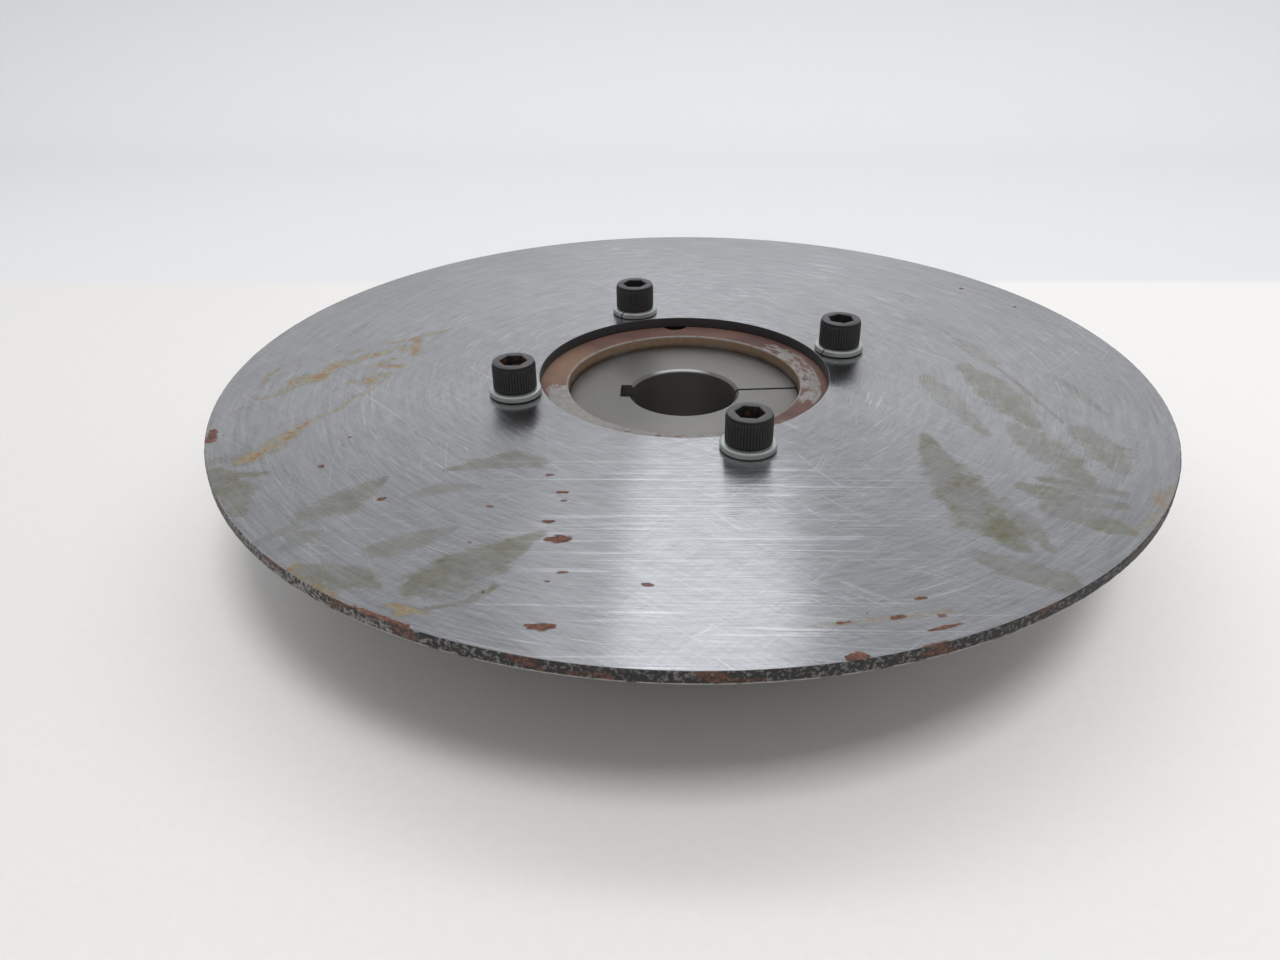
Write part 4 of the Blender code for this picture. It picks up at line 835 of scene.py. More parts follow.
def bushing_mesh():
    """The split taper bushing."""
    mesh = turned("taper_bushing", [
        (BUSHING_SMALL_RADIUS, BUSHING_TOP, EDGE_FILLET),
        (BUSHING_LARGE_RADIUS, BUSHING_BOTTOM, EDGE_FILLET),
        (SHAFT_RADIUS, BUSHING_BOTTOM, EDGE_FILLET),
        (SHAFT_RADIUS, BUSHING_TOP - BUSHING_BORE_CHAMFER, 0.0),
        (SHAFT_RADIUS + BUSHING_BORE_CHAMFER, BUSHING_TOP, 0.0),
    ])

    def groove(width, reach, angle):
        low = (SHAFT_RADIUS / 2, -width / 2, BUSHING_BOTTOM - CUT_PAST)
        return box_mesh(low, (reach, width / 2, BUSHING_TOP + CUT_PAST), angle)

    key_seat = groove(KEY_SEAT_WIDTH, KEY_SEAT_REACH, math.pi)
    slit = groove(SLIT_WIDTH, BUSHING_LARGE_RADIUS + CUT_PAST, SLIT_ANGLE)
    return cut(mesh, key_seat, slit, half_hole_cutter())


END_RUST_DARK = (0.080, 0.043, 0.036)
END_RUST_PALE = (0.13, 0.072, 0.058)
END_RUST_ORANGE = (0.235, 0.15, 0.095)
WALL_RUST_DARK = (0.13, 0.085, 0.055)
WALL_RUST_PALE = (0.25, 0.17, 0.11)
IRON_DARK = (0.17, 0.15, 0.14)
IRON_PALE = (0.25, 0.24, 0.235)
RUBBED_IRON = (0.30, 0.286, 0.272)
SATIN_STEEL = (0.262, 0.254, 0.242)
# Painted shade colour for the bushing's bore and key-seat.
BORE_SHADE_STEEL = (0.22, 0.212, 0.205)
GLINT = (0.85, 0.85, 0.84)


def hub_finish():
    """Turned cast iron: rusted red-brown on its end face, and rubbed bare on three sides of it."""
    f = Finish("cast_iron", Anisotropic=0.2)
    turning = f.turning(1500.0, 4.0, 1500.0, detail=3.0)
    ragged = f.grain(420.0, detail=5.0)
    cloud = f.grain(45.0, detail=4.0)
    streaky = f.drawn_round(f.radius * 520.0, 9.0, detail=5.0, roughness=0.6)
    left = f.step(f.facing(218), 0.72, 0.99) * 1.25
    right = f.step(f.facing(10), 0.70, 0.93) * 0.78
    front = f.step(f.facing(272), 0.5, 0.9) * 0.85
    outer = f.step(f.radius, 46.4 * MM, 48.4 * MM)
    lower_right = f.step(f.facing(-14), 0.84, 0.97)
    rubbed = f.most(left, right, front) + outer * -0.5 + outer * lower_right * -0.5
    on_top = f.step(f.z, HUB_TOP - 0.35 * MM, HUB_TOP - 0.1 * MM)
    bare = f.step(rubbed + (streaky - 0.5) * 2.4, 0.50, 0.85)
    bare = bare * on_top * f.span(f.step(ragged, 0.35, 0.6), 0.7, 1.0)
    lip = f.step(f.radius, BORE_RADIUS_TOP + 0.9 * MM, BORE_RADIUS_TOP + 0.45 * MM)
    mouth = lip * f.step(f.z, HUB_TOP - 0.7 * MM, HUB_TOP - 0.35 * MM)
    bare = f.most(bare, mouth * f.step(ragged, 0.3, 0.5) * 0.7)

    rust = f.colour(f.step(cloud, 0.3, 0.7), END_RUST_DARK, END_RUST_PALE)
    rust = f.colour(f.step(f.facing(164), 0.88, 1.0) * 0.5, rust, END_RUST_ORANGE)
    rust = f.shade(rust, f.span(ragged, 0.8, 1.25))
    wall = f.step(f.radius, BORE_RADIUS_TOP + 0.3 * MM, BORE_RADIUS_TOP + 0.1 * MM)
    rust = f.colour(wall, rust, f.colour(ragged, WALL_RUST_DARK, WALL_RUST_PALE))
    low = f.step(f.z, FLANGE_TOP - 1.0 * MM, FLANGE_TOP - 3.0 * MM)
    iron = f.colour(f.step(cloud, 0.35, 0.65), IRON_DARK, IRON_PALE)
    body = f.colour(low * f.step(cloud, 0.35, 0.55), rust, iron)
    colour = f.colour(bare, body, f.shade(RUBBED_IRON, f.span(turning, 0.75, 1.2)))
    metal = f.most(bare * 0.75, low * 0.8, 0.1)
    rough = f.mix(bare, f.span(ragged, 0.6, 0.8), f.span(turning, 0.38, 0.55))
    normal = f.bump(turning * 0.4 + ragged * (1.0 - bare) * 0.9, 0.06 * MM)
    return f.wire(Base_Color=colour, Metallic=metal, Roughness=rough, Normal=normal)


def bushing_finish():
    """Satin turned steel, with painted shade in the bore and key-seat, and a glint on the bore's chamfer."""
    f = Finish("bushing_steel", Anisotropic=0.35, Anisotropic_Rotation=0.25)
    f.brushed_round()
    turning = f.turning(1900.0, 6.0, 1900.0, detail=3.0)
    cloud = f.grain(60.0, detail=4.0)
    dark_band = f.step(f.facing(128), 0.86, 0.99)
    left = f.step(f.facing(190), 0.1, 1.0)
    tone = f.span(turning, 0.90, 1.10) + f.span(cloud, -0.10, 0.10) + dark_band * -0.10 + left * -0.14
    inside = f.step(f.radius, SHAFT_RADIUS + 0.5 * MM, SHAFT_RADIUS + 0.15 * MM)
    seat = (
        f.step(f.math("ABSOLUTE", f.y), KEY_SEAT_WIDTH / 2 + 0.15 * MM, KEY_SEAT_WIDTH / 2)
        * f.step(f.x, -SHAFT_RADIUS / 2, -SHAFT_RADIUS * 0.9)
        * f.step(f.radius, KEY_SEAT_REACH + 0.3 * MM, KEY_SEAT_REACH + 0.1 * MM)
    )
    # Painted shade inside the bore and the key-seat, below the top face.
    bore_shade = f.most(inside, seat) * f.step(f.z, BUSHING_TOP - 0.2 * MM, BUSHING_TOP - 0.9 * MM)
    chamfer_radius = SHAFT_RADIUS + BUSHING_BORE_CHAMFER
    chamfer_bottom = BUSHING_TOP - BUSHING_BORE_CHAMFER
    chamfer = (
        f.step(f.radius, chamfer_radius, chamfer_radius - 0.15 * MM)
        * f.step(f.z, chamfer_bottom, chamfer_bottom + 0.1 * MM)
    )
    glint = chamfer * f.step(f.facing(94), 0.80, 0.99)
    steel = f.colour(glint, f.shade(SATIN_STEEL, tone), GLINT)
    colour = f.colour(bore_shade, steel, BORE_SHADE_STEEL)
    rough = f.mix(bore_shade, f.mix(glint, f.span(turning, 0.36, 0.50), 0.3), 0.55)
    normal = f.bump(turning + f.grain(1200.0) * 0.3, 0.02 * MM)
    return f.wire(Base_Color=colour, Metallic=0.95, Roughness=rough, Normal=normal)


# ---------------------------------------------------------------- disc screws and lock washers

KNURL_RIDGES = 48
KNURL_DEPTH = 0.24 * MM
SCREW_SIDES = KNURL_RIDGES * 4
SCREW_HEAD_RADIUS = 7.15 * MM
SCREW_SHANK_RADIUS = 4.6 * MM
SCREW_THREAD_DEPTH = 0.55 * MM
SCREW_PITCH = 1.588 * MM
THREAD_STEPS = 6
HEAD_CHAMFER = 0.7 * MM
SOCKET_CORNER_RADIUS = 4.58 * MM
SOCKET_DEPTH = 5.0 * MM
SOCKET_LEAD = 0.25 * MM
SOCKET_POINT = 1.2 * MM
SCREW_NECK = 1.0 * MM
HEAD_HEIGHT = 9.4 * MM
WASHER_BORE_RADIUS = 5.0 * MM
WASHER_RADIUS = 8.6 * MM
WASHER_FILLET = 0.55 * MM
WASHER_SPLIT_WIDTH = 0.5 * MM
WASHER_LEAN = math.tan(math.radians(25))
WASHER_STEPS = 90
WASHER_SHARP = math.radians(40)


def hexagon_radius(corner_radius, sides):
    """A hexagon's radius at each of a circle's points, its corners on every sixth part of it."""
    angles = (np.arange(sides) * math.tau / sides) % (math.tau / 6) - math.tau / 12
    return corner_radius * math.cos(math.tau / 12) / np.cos(angles)


def screw_rings(top, seat, tip):
    """The rings of a socket head cap screw: up the socket, down the knurled head and the thread."""
    hexagon = hexagon_radius(SOCKET_CORNER_RADIUS, SCREW_SIDES)
    knurl = SCREW_HEAD_RADIUS - KNURL_DEPTH * (np.arange(SCREW_SIDES) % 4 == 0)
    smooth = SCREW_HEAD_RADIUS - KNURL_DEPTH
    thread_start = seat - SCREW_NECK
    outline = [
        (hexagon * 0.1, top - SOCKET_DEPTH - SOCKET_POINT),
        (hexagon * 0.8, top - SOCKET_DEPTH),
        (hexagon, top - SOCKET_DEPTH),
        (hexagon, top - SOCKET_LEAD),
        (hexagon + SOCKET_LEAD, top),
        (smooth - HEAD_CHAMFER, top),
        (smooth - 0.25 * HEAD_CHAMFER, top - 0.3 * HEAD_CHAMFER),
        (smooth, top - HEAD_CHAMFER),
        (smooth, top - 1.5 * HEAD_CHAMFER),
        (knurl, top - 2.0 * HEAD_CHAMFER),
        (knurl, seat + 0.5 * MM),
        (smooth - 0.1 * MM, seat + 0.15 * MM),
        (smooth - 0.4 * MM, seat),
        (SCREW_SHANK_RADIUS, seat),
    ]
    turn = np.arange(SCREW_SIDES) / SCREW_SIDES
    for z in np.arange(thread_start, tip + 1.0 * MM, -SCREW_PITCH / THREAD_STEPS):
        phase = (z / SCREW_PITCH - turn) % 1.0
        fade = min(1.0, (thread_start - z) / SCREW_PITCH)
        outline.append((SCREW_SHANK_RADIUS - SCREW_THREAD_DEPTH * fade * abs(2 * phase - 1.0), z))
    outline.append((SCREW_SHANK_RADIUS - SCREW_THREAD_DEPTH, tip + 0.6 * MM))
    outline.append((SCREW_SHANK_RADIUS - 1.2 * MM, tip))
    return [ring(radius, z, SCREW_SIDES) for radius, z in outline]


def disc_screw_mesh(number):
    """One disc screw, standing in its hole and turned to its own angle."""
    low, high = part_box(f"disc_screw_{number}")
    mesh = ring_mesh("disc_screw", screw_rings(high.z, high.z - HEAD_HEIGHT, low.z), looped=False)
    return placed(mesh, polar(SCREW_CIRCLE_RADIUS, SCREW_ANGLES[number - 1]), SOCKET_ANGLES[number - 1])


def lock_washer_mesh(number):
    """One split lock washer, with a leaning split and rounded edges."""
    low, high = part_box(f"lock_washer_{number}")
    corners = ring_corners(low.z, high.z, WASHER_RADIUS, WASHER_BORE_RADIUS, WASHER_FILLET, SMALL_FILLET)
    mesh = open_ring_mesh("lock_washer", corners, WASHER_SPLIT_WIDTH, lean=WASHER_LEAN, steps=WASHER_STEPS)
    return placed(mesh, polar(SCREW_CIRCLE_RADIUS, SCREW_ANGLES[number - 1]), SPLIT_ANGLES[number - 1])


OXIDE = (0.023, 0.022, 0.0235)
# Lighter colour for the knurl's crests: partly wear, partly a painted highlight.
OXIDE_CREST_SHEEN = (0.064, 0.062, 0.063)
OXIDE_RUBBED = (0.135, 0.133, 0.136)
OXIDE_GLINT = (0.30, 0.29, 0.27)
SOCKET_RUST = (0.16, 0.07, 0.03)
ZINC_DARK = (0.42, 0.45, 0.435)
ZINC_PALE = (0.575, 0.60, 0.585)
# The colour the washers darken to towards their foot on the disc.
FOOT_DARK_GREY = (0.07, 0.07, 0.055)

# A height over the whole clutch: a screw with its top there looks rubbed nowhere.
OUT_OF_REACH = 1.0


def black_oxide_finish(name, top=OUT_OF_REACH, rusty=0.0, place=(0.0, 0.0)):
    """Black oxide on steel: grey where it is rubbed, with some wear and a painted highlight on the knurl's
    crests, and a little rust in some sockets.
    """
    f = Finish(name, Specular_IOR_Level=0.5)
    cloud = f.grain(420.0, detail=4.0)
    speck = f.grain(2600.0, detail=3.0)
    rubbed = f.step(f.z, top - 0.5 * MM, top - 0.1 * MM) * f.span(cloud, 0.5, 1.0)
    base = f.shade(OXIDE, f.span(cloud, 0.7, 1.4))
    colour = f.colour(rubbed, base, f.shade(OXIDE_RUBBED, f.span(speck, 0.8, 1.2)))
    colour = f.colour(f.step(speck, 0.68, 0.76) * 0.25, colour, OXIDE_GLINT)
    off_axis = f.off_axis(*place[:2])[2]
    # The knurl's crests are lightened: partly rubbed wear, partly a painted highlight.
    below = f.step(f.z, top - 0.8 * MM, top - 1.4 * MM)
    crest_wear_and_sheen = below * f.step(off_axis, SCREW_HEAD_RADIUS - 0.13 * MM, SCREW_HEAD_RADIUS - 0.04 * MM)
    colour = f.colour(crest_wear_and_sheen * f.span(cloud, 0.4, 1.0), colour, OXIDE_CREST_SHEEN)
    deep = f.step(f.z, top - 0.5 * MM, top - 1.5 * MM) * f.step(f.z, top - 6.6 * MM, top - 5.5 * MM)
    inside = f.step(off_axis, SOCKET_CORNER_RADIUS + 0.6 * MM, SOCKET_CORNER_RADIUS + 0.2 * MM)
    colour = f.colour(deep * inside * f.step(cloud, 0.45, 0.6) * rusty, colour, SOCKET_RUST)
    rough = f.mix(rubbed, f.span(cloud, 0.42, 0.60), 0.42)
    normal = f.bump(speck + cloud * 0.6, 0.03 * MM, strength=0.7)
    return f.wire(Base_Color=colour, Metallic=f.mix(rubbed, 0.45, 0.8), Roughness=rough, Normal=normal)


def zinc_finish():
    """Dull greenish zinc plate, darker towards its foot on the disc."""
    f = Finish("zinc_plate", Specular_IOR_Level=0.5)
    cloud = f.grain(500.0, detail=4.0)
    speck = f.grain(2400.0, detail=3.0)
    # Darker towards the washer's foot on the disc.
    foot_darkening = f.step(f.z, DISC_TOP + 0.55 * MM, DISC_TOP + 0.1 * MM) * f.span(cloud, 0.2, 0.9)
    colour = f.colour(foot_darkening, f.shade(f.colour(cloud, ZINC_DARK, ZINC_PALE), f.span(speck, 0.85, 1.15)), FOOT_DARK_GREY)
    rough = f.span(cloud, 0.30, 0.48) + foot_darkening * 0.2
    normal = f.bump(speck, 0.02 * MM, strength=0.7)
    return f.wire(Base_Color=colour, Metallic=0.85, Roughness=rough, Normal=normal)


# ---------------------------------------------------------------- other pieces

ARMATURE_INNER_RADIUS = 74.0 * MM
RIVET_CIRCLE_RADIUS = 80.0 * MM
RIVET_SHANK_RADIUS = 2.9 * MM
RIVET_HEAD_RADIUS = 4.6 * MM
RIVET_HEAD_HEIGHT = 1.7 * MM
RIVET_HOLE_RADIUS = 3.2 * MM
RIVET_SINK_RADIUS = 4.9 * MM
RIVET_SINK_DEPTH = 2.3 * MM
SPRING_OUTER_NEAR = 66.0 * MM
SPRING_OUTER_FAR = 86.0 * MM
SPRING_INNER_NEAR = 53.0 * MM
SPRING_INNER_FAR = 67.0 * MM
ROTOR_WALL_RADIUS = 108.0 * MM
ROTOR_WALL_INNER_RADIUS = 102.0 * MM
ROTOR_FLANGE_TOP = 38.0 * MM
ROTOR_FLANGE_BOTTOM = 30.0 * MM
ROTOR_WEB_BOTTOM = 32.0 * MM
ROTOR_BOSS_RADIUS = 71.5 * MM
ROTOR_BOSS_BOTTOM = 18.9 * MM
ROTOR_LIP_TOP = 21.1 * MM
ROTOR_GROOVE = (31.0 * MM, 33.4 * MM)
ROTOR_BORE_STEP = 35.2 * MM
ROTOR_BORE_RADIUS = 70.3 * MM
LINING_GROOVE_INNER = 84.5 * MM
LINING_GROOVE_OUTER = 93.5 * MM
LINING_GROOVE_BOTTOM = 37.0 * MM
FLUX_SLOT_INNER = 86.5 * MM
FLUX_SLOT_OUTER = 91.5 * MM
FLUX_SLOT_SPAN = math.radians(80)
FLUX_SLOTS = 3
PULLEY_HOLES = 6
PULLEY_HOLE_RADIUS = 3.4 * MM
PULLEY_CIRCLE_RADIUS = 114.0 * MM
FIT_GAP = 0.3 * MM
SEAT_GAP = 0.1 * MM
LIP_RADIUS = 61.2 * MM
HOUSING_RADIUS = 63.8 * MM
HOUSING_GROOVE_RADIUS = 66.2 * MM
FIELD_GROOVE = (4.1 * MM, 6.5 * MM)
SHELL_RADIUS = 101.0 * MM
SHELL_CHAMFER = 3.0 * MM
SHELL_PLATE_TOP = 8.0 * MM
SHELL_BLOCK_TOP = 18.2 * MM
SHELL_LIP_BOTTOM = 16.4 * MM
SHELL_OUTER_POLE_RADIUS = 96.5 * MM
SHELL_INNER_POLE_RADIUS = 77.3 * MM
SHELL_POLE_BORE_RADIUS = 72.3 * MM
COIL_INNER_RADIUS = 77.7 * MM
BEARING_BORE_RADIUS = 54.25 * MM
INNER_RACE_RADIUS = 57.5 * MM
OUTER_RACE_RADIUS = 60.1 * MM
BEARING_RADIUS = 63.4 * MM
BALL_PITCH_RADIUS = 58.8 * MM
GROOVE_RADIUS = 2.75 * MM
GROOVE_STEPS = 8
SEAL_INNER_RADIUS = 58.0 * MM
RING_GAP_WIDTH = 12.0 * MM
SEAL_FILLET = 0.15 * MM

# Each body's retaining ring: its two radii, and the angle where its gap starts.
RETAINING_RINGS = {
    "hub": (52.1 * MM, 57.2 * MM, math.radians(140)),
    "field": (61.9 * MM, 65.9 * MM, math.radians(250)),
    "rotor": (61.9 * MM, 65.9 * MM, math.radians(35)),
}
ARM_HALF_WIDTH = 16.0 * MM
ARM_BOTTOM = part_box("torque_arm")[0].z
ARM_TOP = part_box("torque_arm")[1].z
ARM_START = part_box("torque_arm")[0].y
ARM_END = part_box("torque_arm")[1].y
ARM_SLOT_START = 112.0 * MM
ARM_SLOT_END = 124.0 * MM
ARM_SLOT_RADIUS = 4.2 * MM
ARM_SCREW_PLACES = [(sign * 9.0 * MM, 89.0 * MM, 0.0) for sign in (-1, 1)]
ARM_SCREW_CHAMFER = 0.4 * MM
ARM_SCREW_SHANK_RADIUS = 2.3 * MM
ARM_SCREW_HEAD_RADIUS = 4.6 * MM
ARM_SCREW_CONE_TOP = 2.9 * MM
ARM_SCREW_BOTTOM = 0.6 * MM
ARM_SCREW_TOP = 7.0 * MM
ARM_SCREW_SOCKET_RADIUS = 1.7 * MM
ARM_SCREW_SOCKET_DEPTH = 1.4 * MM
ARM_HOLE_TOP = 7.4 * MM
SET_SCREW_RADIUS = 6.2 * MM
SET_SCREW_SOCKET_RADIUS = 3.6 * MM
SET_SCREW_SOCKET_DEPTH = 6.0 * MM
TERMINAL_TURN = Matrix.Rotation(math.radians(125), 4, "Z")
TERMINAL_WIDTH = 30.0 * MM
TERMINAL_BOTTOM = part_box("terminal_block")[0].z
TERMINAL_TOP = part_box("terminal_block")[1].z
TERMINAL_MIDDLE = (TERMINAL_TOP + TERMINAL_BOTTOM) / 2
TERMINAL_INNER_FACE = 95.0 * MM
TERMINAL_OUTER_FACE = 114.5 * MM
TERMINAL_SCREW_SPACING = 14.0 * MM
TERMINAL_FILLET = 0.8 * MM
TERMINAL_GROOVE_WIDTH = 1.4 * MM
TERMINAL_GROOVE_DEPTH = 1.0 * MM
TERMINAL_HOLE_RADIUS = 1.8 * MM
TERMINAL_HOLE_DEPTH = 7.0 * MM
TERMINAL_HEAD_RADIUS = 3.3 * MM
TERMINAL_HEAD_HEIGHT = 2.0 * MM
TERMINAL_SHANK_RADIUS = 1.5 * MM
TERMINAL_SCREW_LENGTH = 6.0 * MM
DRIVE_SLOT_WIDTH = 0.9 * MM
DRIVE_SLOT_DEPTH = 1.0 * MM


def ring_piece(node, inner, finish, body, fillet=SMALL_FILLET):
    """A plain turned ring with rounded edges, in the space of a CAD ring."""
    low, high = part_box(node)
    mesh = turned(node, ring_corners(low.z, high.z, high.x, inner, fillet))
    add_piece(node, mesh, finish, body)


def race_mesh(node, bore, outer, groove_side):
    """A bearing race with its ball groove: side 1 for the inner race, -1 for the outer race."""
    low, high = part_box(node)
    middle = (low.z + high.z) / 2
    race = outer if groove_side > 0 else bore
    start = math.asin(abs(BALL_PITCH_RADIUS - race) / GROOVE_RADIUS)
    groove = []
    for step in range(GROOVE_STEPS + 1):
        angle = start + (math.pi - 2 * start) * step / GROOVE_STEPS
        radius = BALL_PITCH_RADIUS - groove_side * GROOVE_RADIUS * math.sin(angle)
        groove.append((radius, middle + groove_side * GROOVE_RADIUS * math.cos(angle), 0.0))
    if groove_side > 0:
        corners = [(outer, high.z, SMALL_FILLET), *groove, (outer, low.z, SMALL_FILLET)]
        corners += [(bore, low.z, EDGE_FILLET), (bore, high.z, EDGE_FILLET)]
    else:
        corners = [(outer, high.z, EDGE_FILLET), (outer, low.z, EDGE_FILLET)]
        corners += [(bore, low.z, SMALL_FILLET), *groove, (bore, high.z, SMALL_FILLET)]
    return turned(node, corners)


def split_ring_mesh(node, inner, outer, gap_angle):
    """A retaining ring with rounded edges, open by a gap."""
    low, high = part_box(node)
    return open_ring_mesh(
        node, ring_corners(low.z, high.z, outer, inner, SMALL_FILLET), RING_GAP_WIDTH, gap_angle
    )


def socket_screw_mesh(name, levels, corner_radius, depth):
    """A screw from rings (radius, z) up its side, with a hexagon socket in its bottom face."""
    hexagon = hexagon_radius(corner_radius, MEDIUM_SIDES)
    face = levels[0][1]
    outline = [(hexagon * 0.1, face + (depth + 0.6 * MM)), (hexagon * 0.85, face + depth)]
    outline += [(hexagon, face + depth), (hexagon, face), *levels]
    return ring_mesh(name, [ring(radius, z, MEDIUM_SIDES) for radius, z in outline[::-1]], looped=False)


def armature_plate_mesh():
    """The armature ring, with stepped holes for its rivets."""
    low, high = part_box("armature_plate")
    mesh = turned("armature_plate", ring_corners(low.z, high.z, high.x, ARMATURE_INNER_RADIUS, EDGE_FILLET))
    places = [polar(RIVET_CIRCLE_RADIUS, a) for a in RIVET_ANGLES]
    holes = cylinder_mesh(RIVET_HOLE_RADIUS, low.z - CUT_PAST, high.z + CUT_PAST, places)
    sinks = cylinder_mesh(RIVET_SINK_RADIUS, low.z - CUT_PAST, low.z + RIVET_SINK_DEPTH, places)
    return cut(mesh, holes, sinks)


def armature_spring_mesh():
    """The flat spring, wavy round its edges: near the axis at the screws, far from it at the rivets."""
    low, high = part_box("armature_spring")
    loops = []
    for near, far in ((SPRING_OUTER_NEAR, SPRING_OUTER_FAR), (SPRING_INNER_NEAR, SPRING_INNER_FAR)):
        loop = []
        for step in range(2 * LARGE_SIDES):
            angle = math.tau * step / (2 * LARGE_SIDES)
            wave = math.cos(4 * (angle - SCREW_ANGLES[0]))
            loop.append(polar((near + far) / 2 - wave * (far - near) / 2, angle)[:2])
        loops.append(loop)
    holes = [(SCREW_CIRCLE_RADIUS, a, CLEARANCE_HOLE_RADIUS) for a in SCREW_ANGLES]
    holes += [(RIVET_CIRCLE_RADIUS, a, RIVET_HOLE_RADIUS) for a in RIVET_ANGLES]
    for circle_radius, angle, radius in holes:
        loops.append(arc(polar(circle_radius, angle), radius, 0.0, math.tau, HOLE_SIDES)[:-1])
    return outline_mesh("armature_spring", loops, low.z, high.z)


def rivet_mesh(number):
    """One armature rivet: a shank under the spring and a head sunk in the armature's face."""
    low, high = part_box(f"armature_rivet_{number}")
    mesh = turned_solid("armature_rivet", [
        (RIVET_SHANK_RADIUS, high.z, 0.1 * MM),
        (RIVET_SHANK_RADIUS, low.z + RIVET_HEAD_HEIGHT, 0.0),
        (RIVET_HEAD_RADIUS, low.z + RIVET_HEAD_HEIGHT, 0.2 * MM),
        (RIVET_HEAD_RADIUS, low.z, 0.5 * MM),
    ])
    return placed(mesh, polar(RIVET_CIRCLE_RADIUS, RIVET_ANGLES[number - 1]))


def rotor_mesh():
    """The rotor: boss, pole face with its slots, outer wall, and the flange for a pulley."""
    low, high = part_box("rotor")
    groove_bottom, groove_top = ROTOR_GROOVE
    mesh = turned("rotor", [
        (ROTOR_WALL_RADIUS, high.z, EDGE_FILLET),
        (ROTOR_WALL_RADIUS, ROTOR_FLANGE_TOP, EDGE_FILLET),
        (high.x, ROTOR_FLANGE_TOP, EDGE_FILLET),
        (high.x, ROTOR_FLANGE_BOTTOM, EDGE_FILLET),
        (ROTOR_WALL_RADIUS, ROTOR_FLANGE_BOTTOM, EDGE_FILLET),
        (ROTOR_WALL_RADIUS, low.z, EDGE_FILLET),
        (ROTOR_WALL_INNER_RADIUS, low.z, EDGE_FILLET),
        (ROTOR_WALL_INNER_RADIUS, ROTOR_WEB_BOTTOM, EDGE_FILLET),
        (ROTOR_BOSS_RADIUS, ROTOR_WEB_BOTTOM, EDGE_FILLET),
        (ROTOR_BOSS_RADIUS, ROTOR_BOSS_BOTTOM, EDGE_FILLET),
        (LIP_RADIUS, ROTOR_BOSS_BOTTOM, SMALL_FILLET),
        (LIP_RADIUS, ROTOR_LIP_TOP, 0.0),
        (HOUSING_RADIUS, ROTOR_LIP_TOP, 0.0),
        (HOUSING_RADIUS, groove_bottom, 0.0),
        (HOUSING_GROOVE_RADIUS, groove_bottom, 0.0),
        (HOUSING_GROOVE_RADIUS, groove_top, 0.0),
        (HOUSING_RADIUS, groove_top, 0.0),
        (HOUSING_RADIUS, ROTOR_BORE_STEP, SMALL_FILLET),
        (ROTOR_BORE_RADIUS, ROTOR_BORE_STEP, 0.0),
        (ROTOR_BORE_RADIUS, high.z, SMALL_FILLET),
        (LINING_GROOVE_INNER, high.z, 0.0),
        (LINING_GROOVE_INNER, LINING_GROOVE_BOTTOM, 0.0),
        (LINING_GROOVE_OUTER, LINING_GROOVE_BOTTOM, 0.0),
        (LINING_GROOVE_OUTER, high.z, 0.0),
    ])
    places = [polar(PULLEY_CIRCLE_RADIUS, math.tau * i / PULLEY_HOLES) for i in range(PULLEY_HOLES)]
    cutters = [
        cylinder_mesh(PULLEY_HOLE_RADIUS, ROTOR_FLANGE_BOTTOM - CUT_PAST, ROTOR_FLANGE_TOP + CUT_PAST, places)
    ]
    for number in range(FLUX_SLOTS):
        start = math.tau * number / FLUX_SLOTS
        stop = start + FLUX_SLOT_SPAN
        loop = arc((0.0, 0.0), FLUX_SLOT_OUTER, start, stop, HOLE_SIDES)
        loop += arc((0.0, 0.0), FLUX_SLOT_INNER, stop, start, HOLE_SIDES)
        low_z = ROTOR_WEB_BOTTOM - CUT_PAST
        cutters.append(outline_mesh("slot", [loop], low_z, LINING_GROOVE_BOTTOM + CUT_PAST))
    return cut(mesh, *cutters)


def field_shell_mesh():
    """The field shell: bearing housing, back plate, inner and outer poles, and the arm's recess."""
    low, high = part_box("field_shell")
    mesh = turned("field_shell", [
        (SHELL_RADIUS, high.z, EDGE_FILLET),
        (SHELL_RADIUS, SHELL_CHAMFER, 0.0),
        (SHELL_RADIUS - SHELL_CHAMFER, low.z, 0.0),
        (HOUSING_RADIUS, low.z, EDGE_FILLET),
        (HOUSING_RADIUS, FIELD_GROOVE[0], 0.0),
        (HOUSING_GROOVE_RADIUS, FIELD_GROOVE[0], 0.0),
        (HOUSING_GROOVE_RADIUS, FIELD_GROOVE[1], 0.0),
        (HOUSING_RADIUS, FIELD_GROOVE[1], 0.0),
        (HOUSING_RADIUS, SHELL_LIP_BOTTOM, 0.0),
        (LIP_RADIUS, SHELL_LIP_BOTTOM, 0.0),
        (LIP_RADIUS, SHELL_BLOCK_TOP, SMALL_FILLET),
        (SHELL_POLE_BORE_RADIUS, SHELL_BLOCK_TOP, 0.0),
        (SHELL_POLE_BORE_RADIUS, high.z, SMALL_FILLET),
        (SHELL_INNER_POLE_RADIUS, high.z, SMALL_FILLET),
        (SHELL_INNER_POLE_RADIUS, SHELL_PLATE_TOP, 0.0),
        (SHELL_OUTER_POLE_RADIUS, SHELL_PLATE_TOP, 0.0),
        (SHELL_OUTER_POLE_RADIUS, high.z, SMALL_FILLET),
    ])
    reach = ARM_HALF_WIDTH + FIT_GAP
    recess = box_mesh(
        (-reach, ARM_START - FIT_GAP, -CUT_PAST), (reach, SHELL_RADIUS + CUT_PAST, ARM_TOP + FIT_GAP)
    )
    tapped = cylinder_mesh(ARM_SCREW_SHANK_RADIUS + FIT_GAP, ARM_BOTTOM, ARM_HOLE_TOP, ARM_SCREW_PLACES)
    return cut(mesh, recess, tapped)


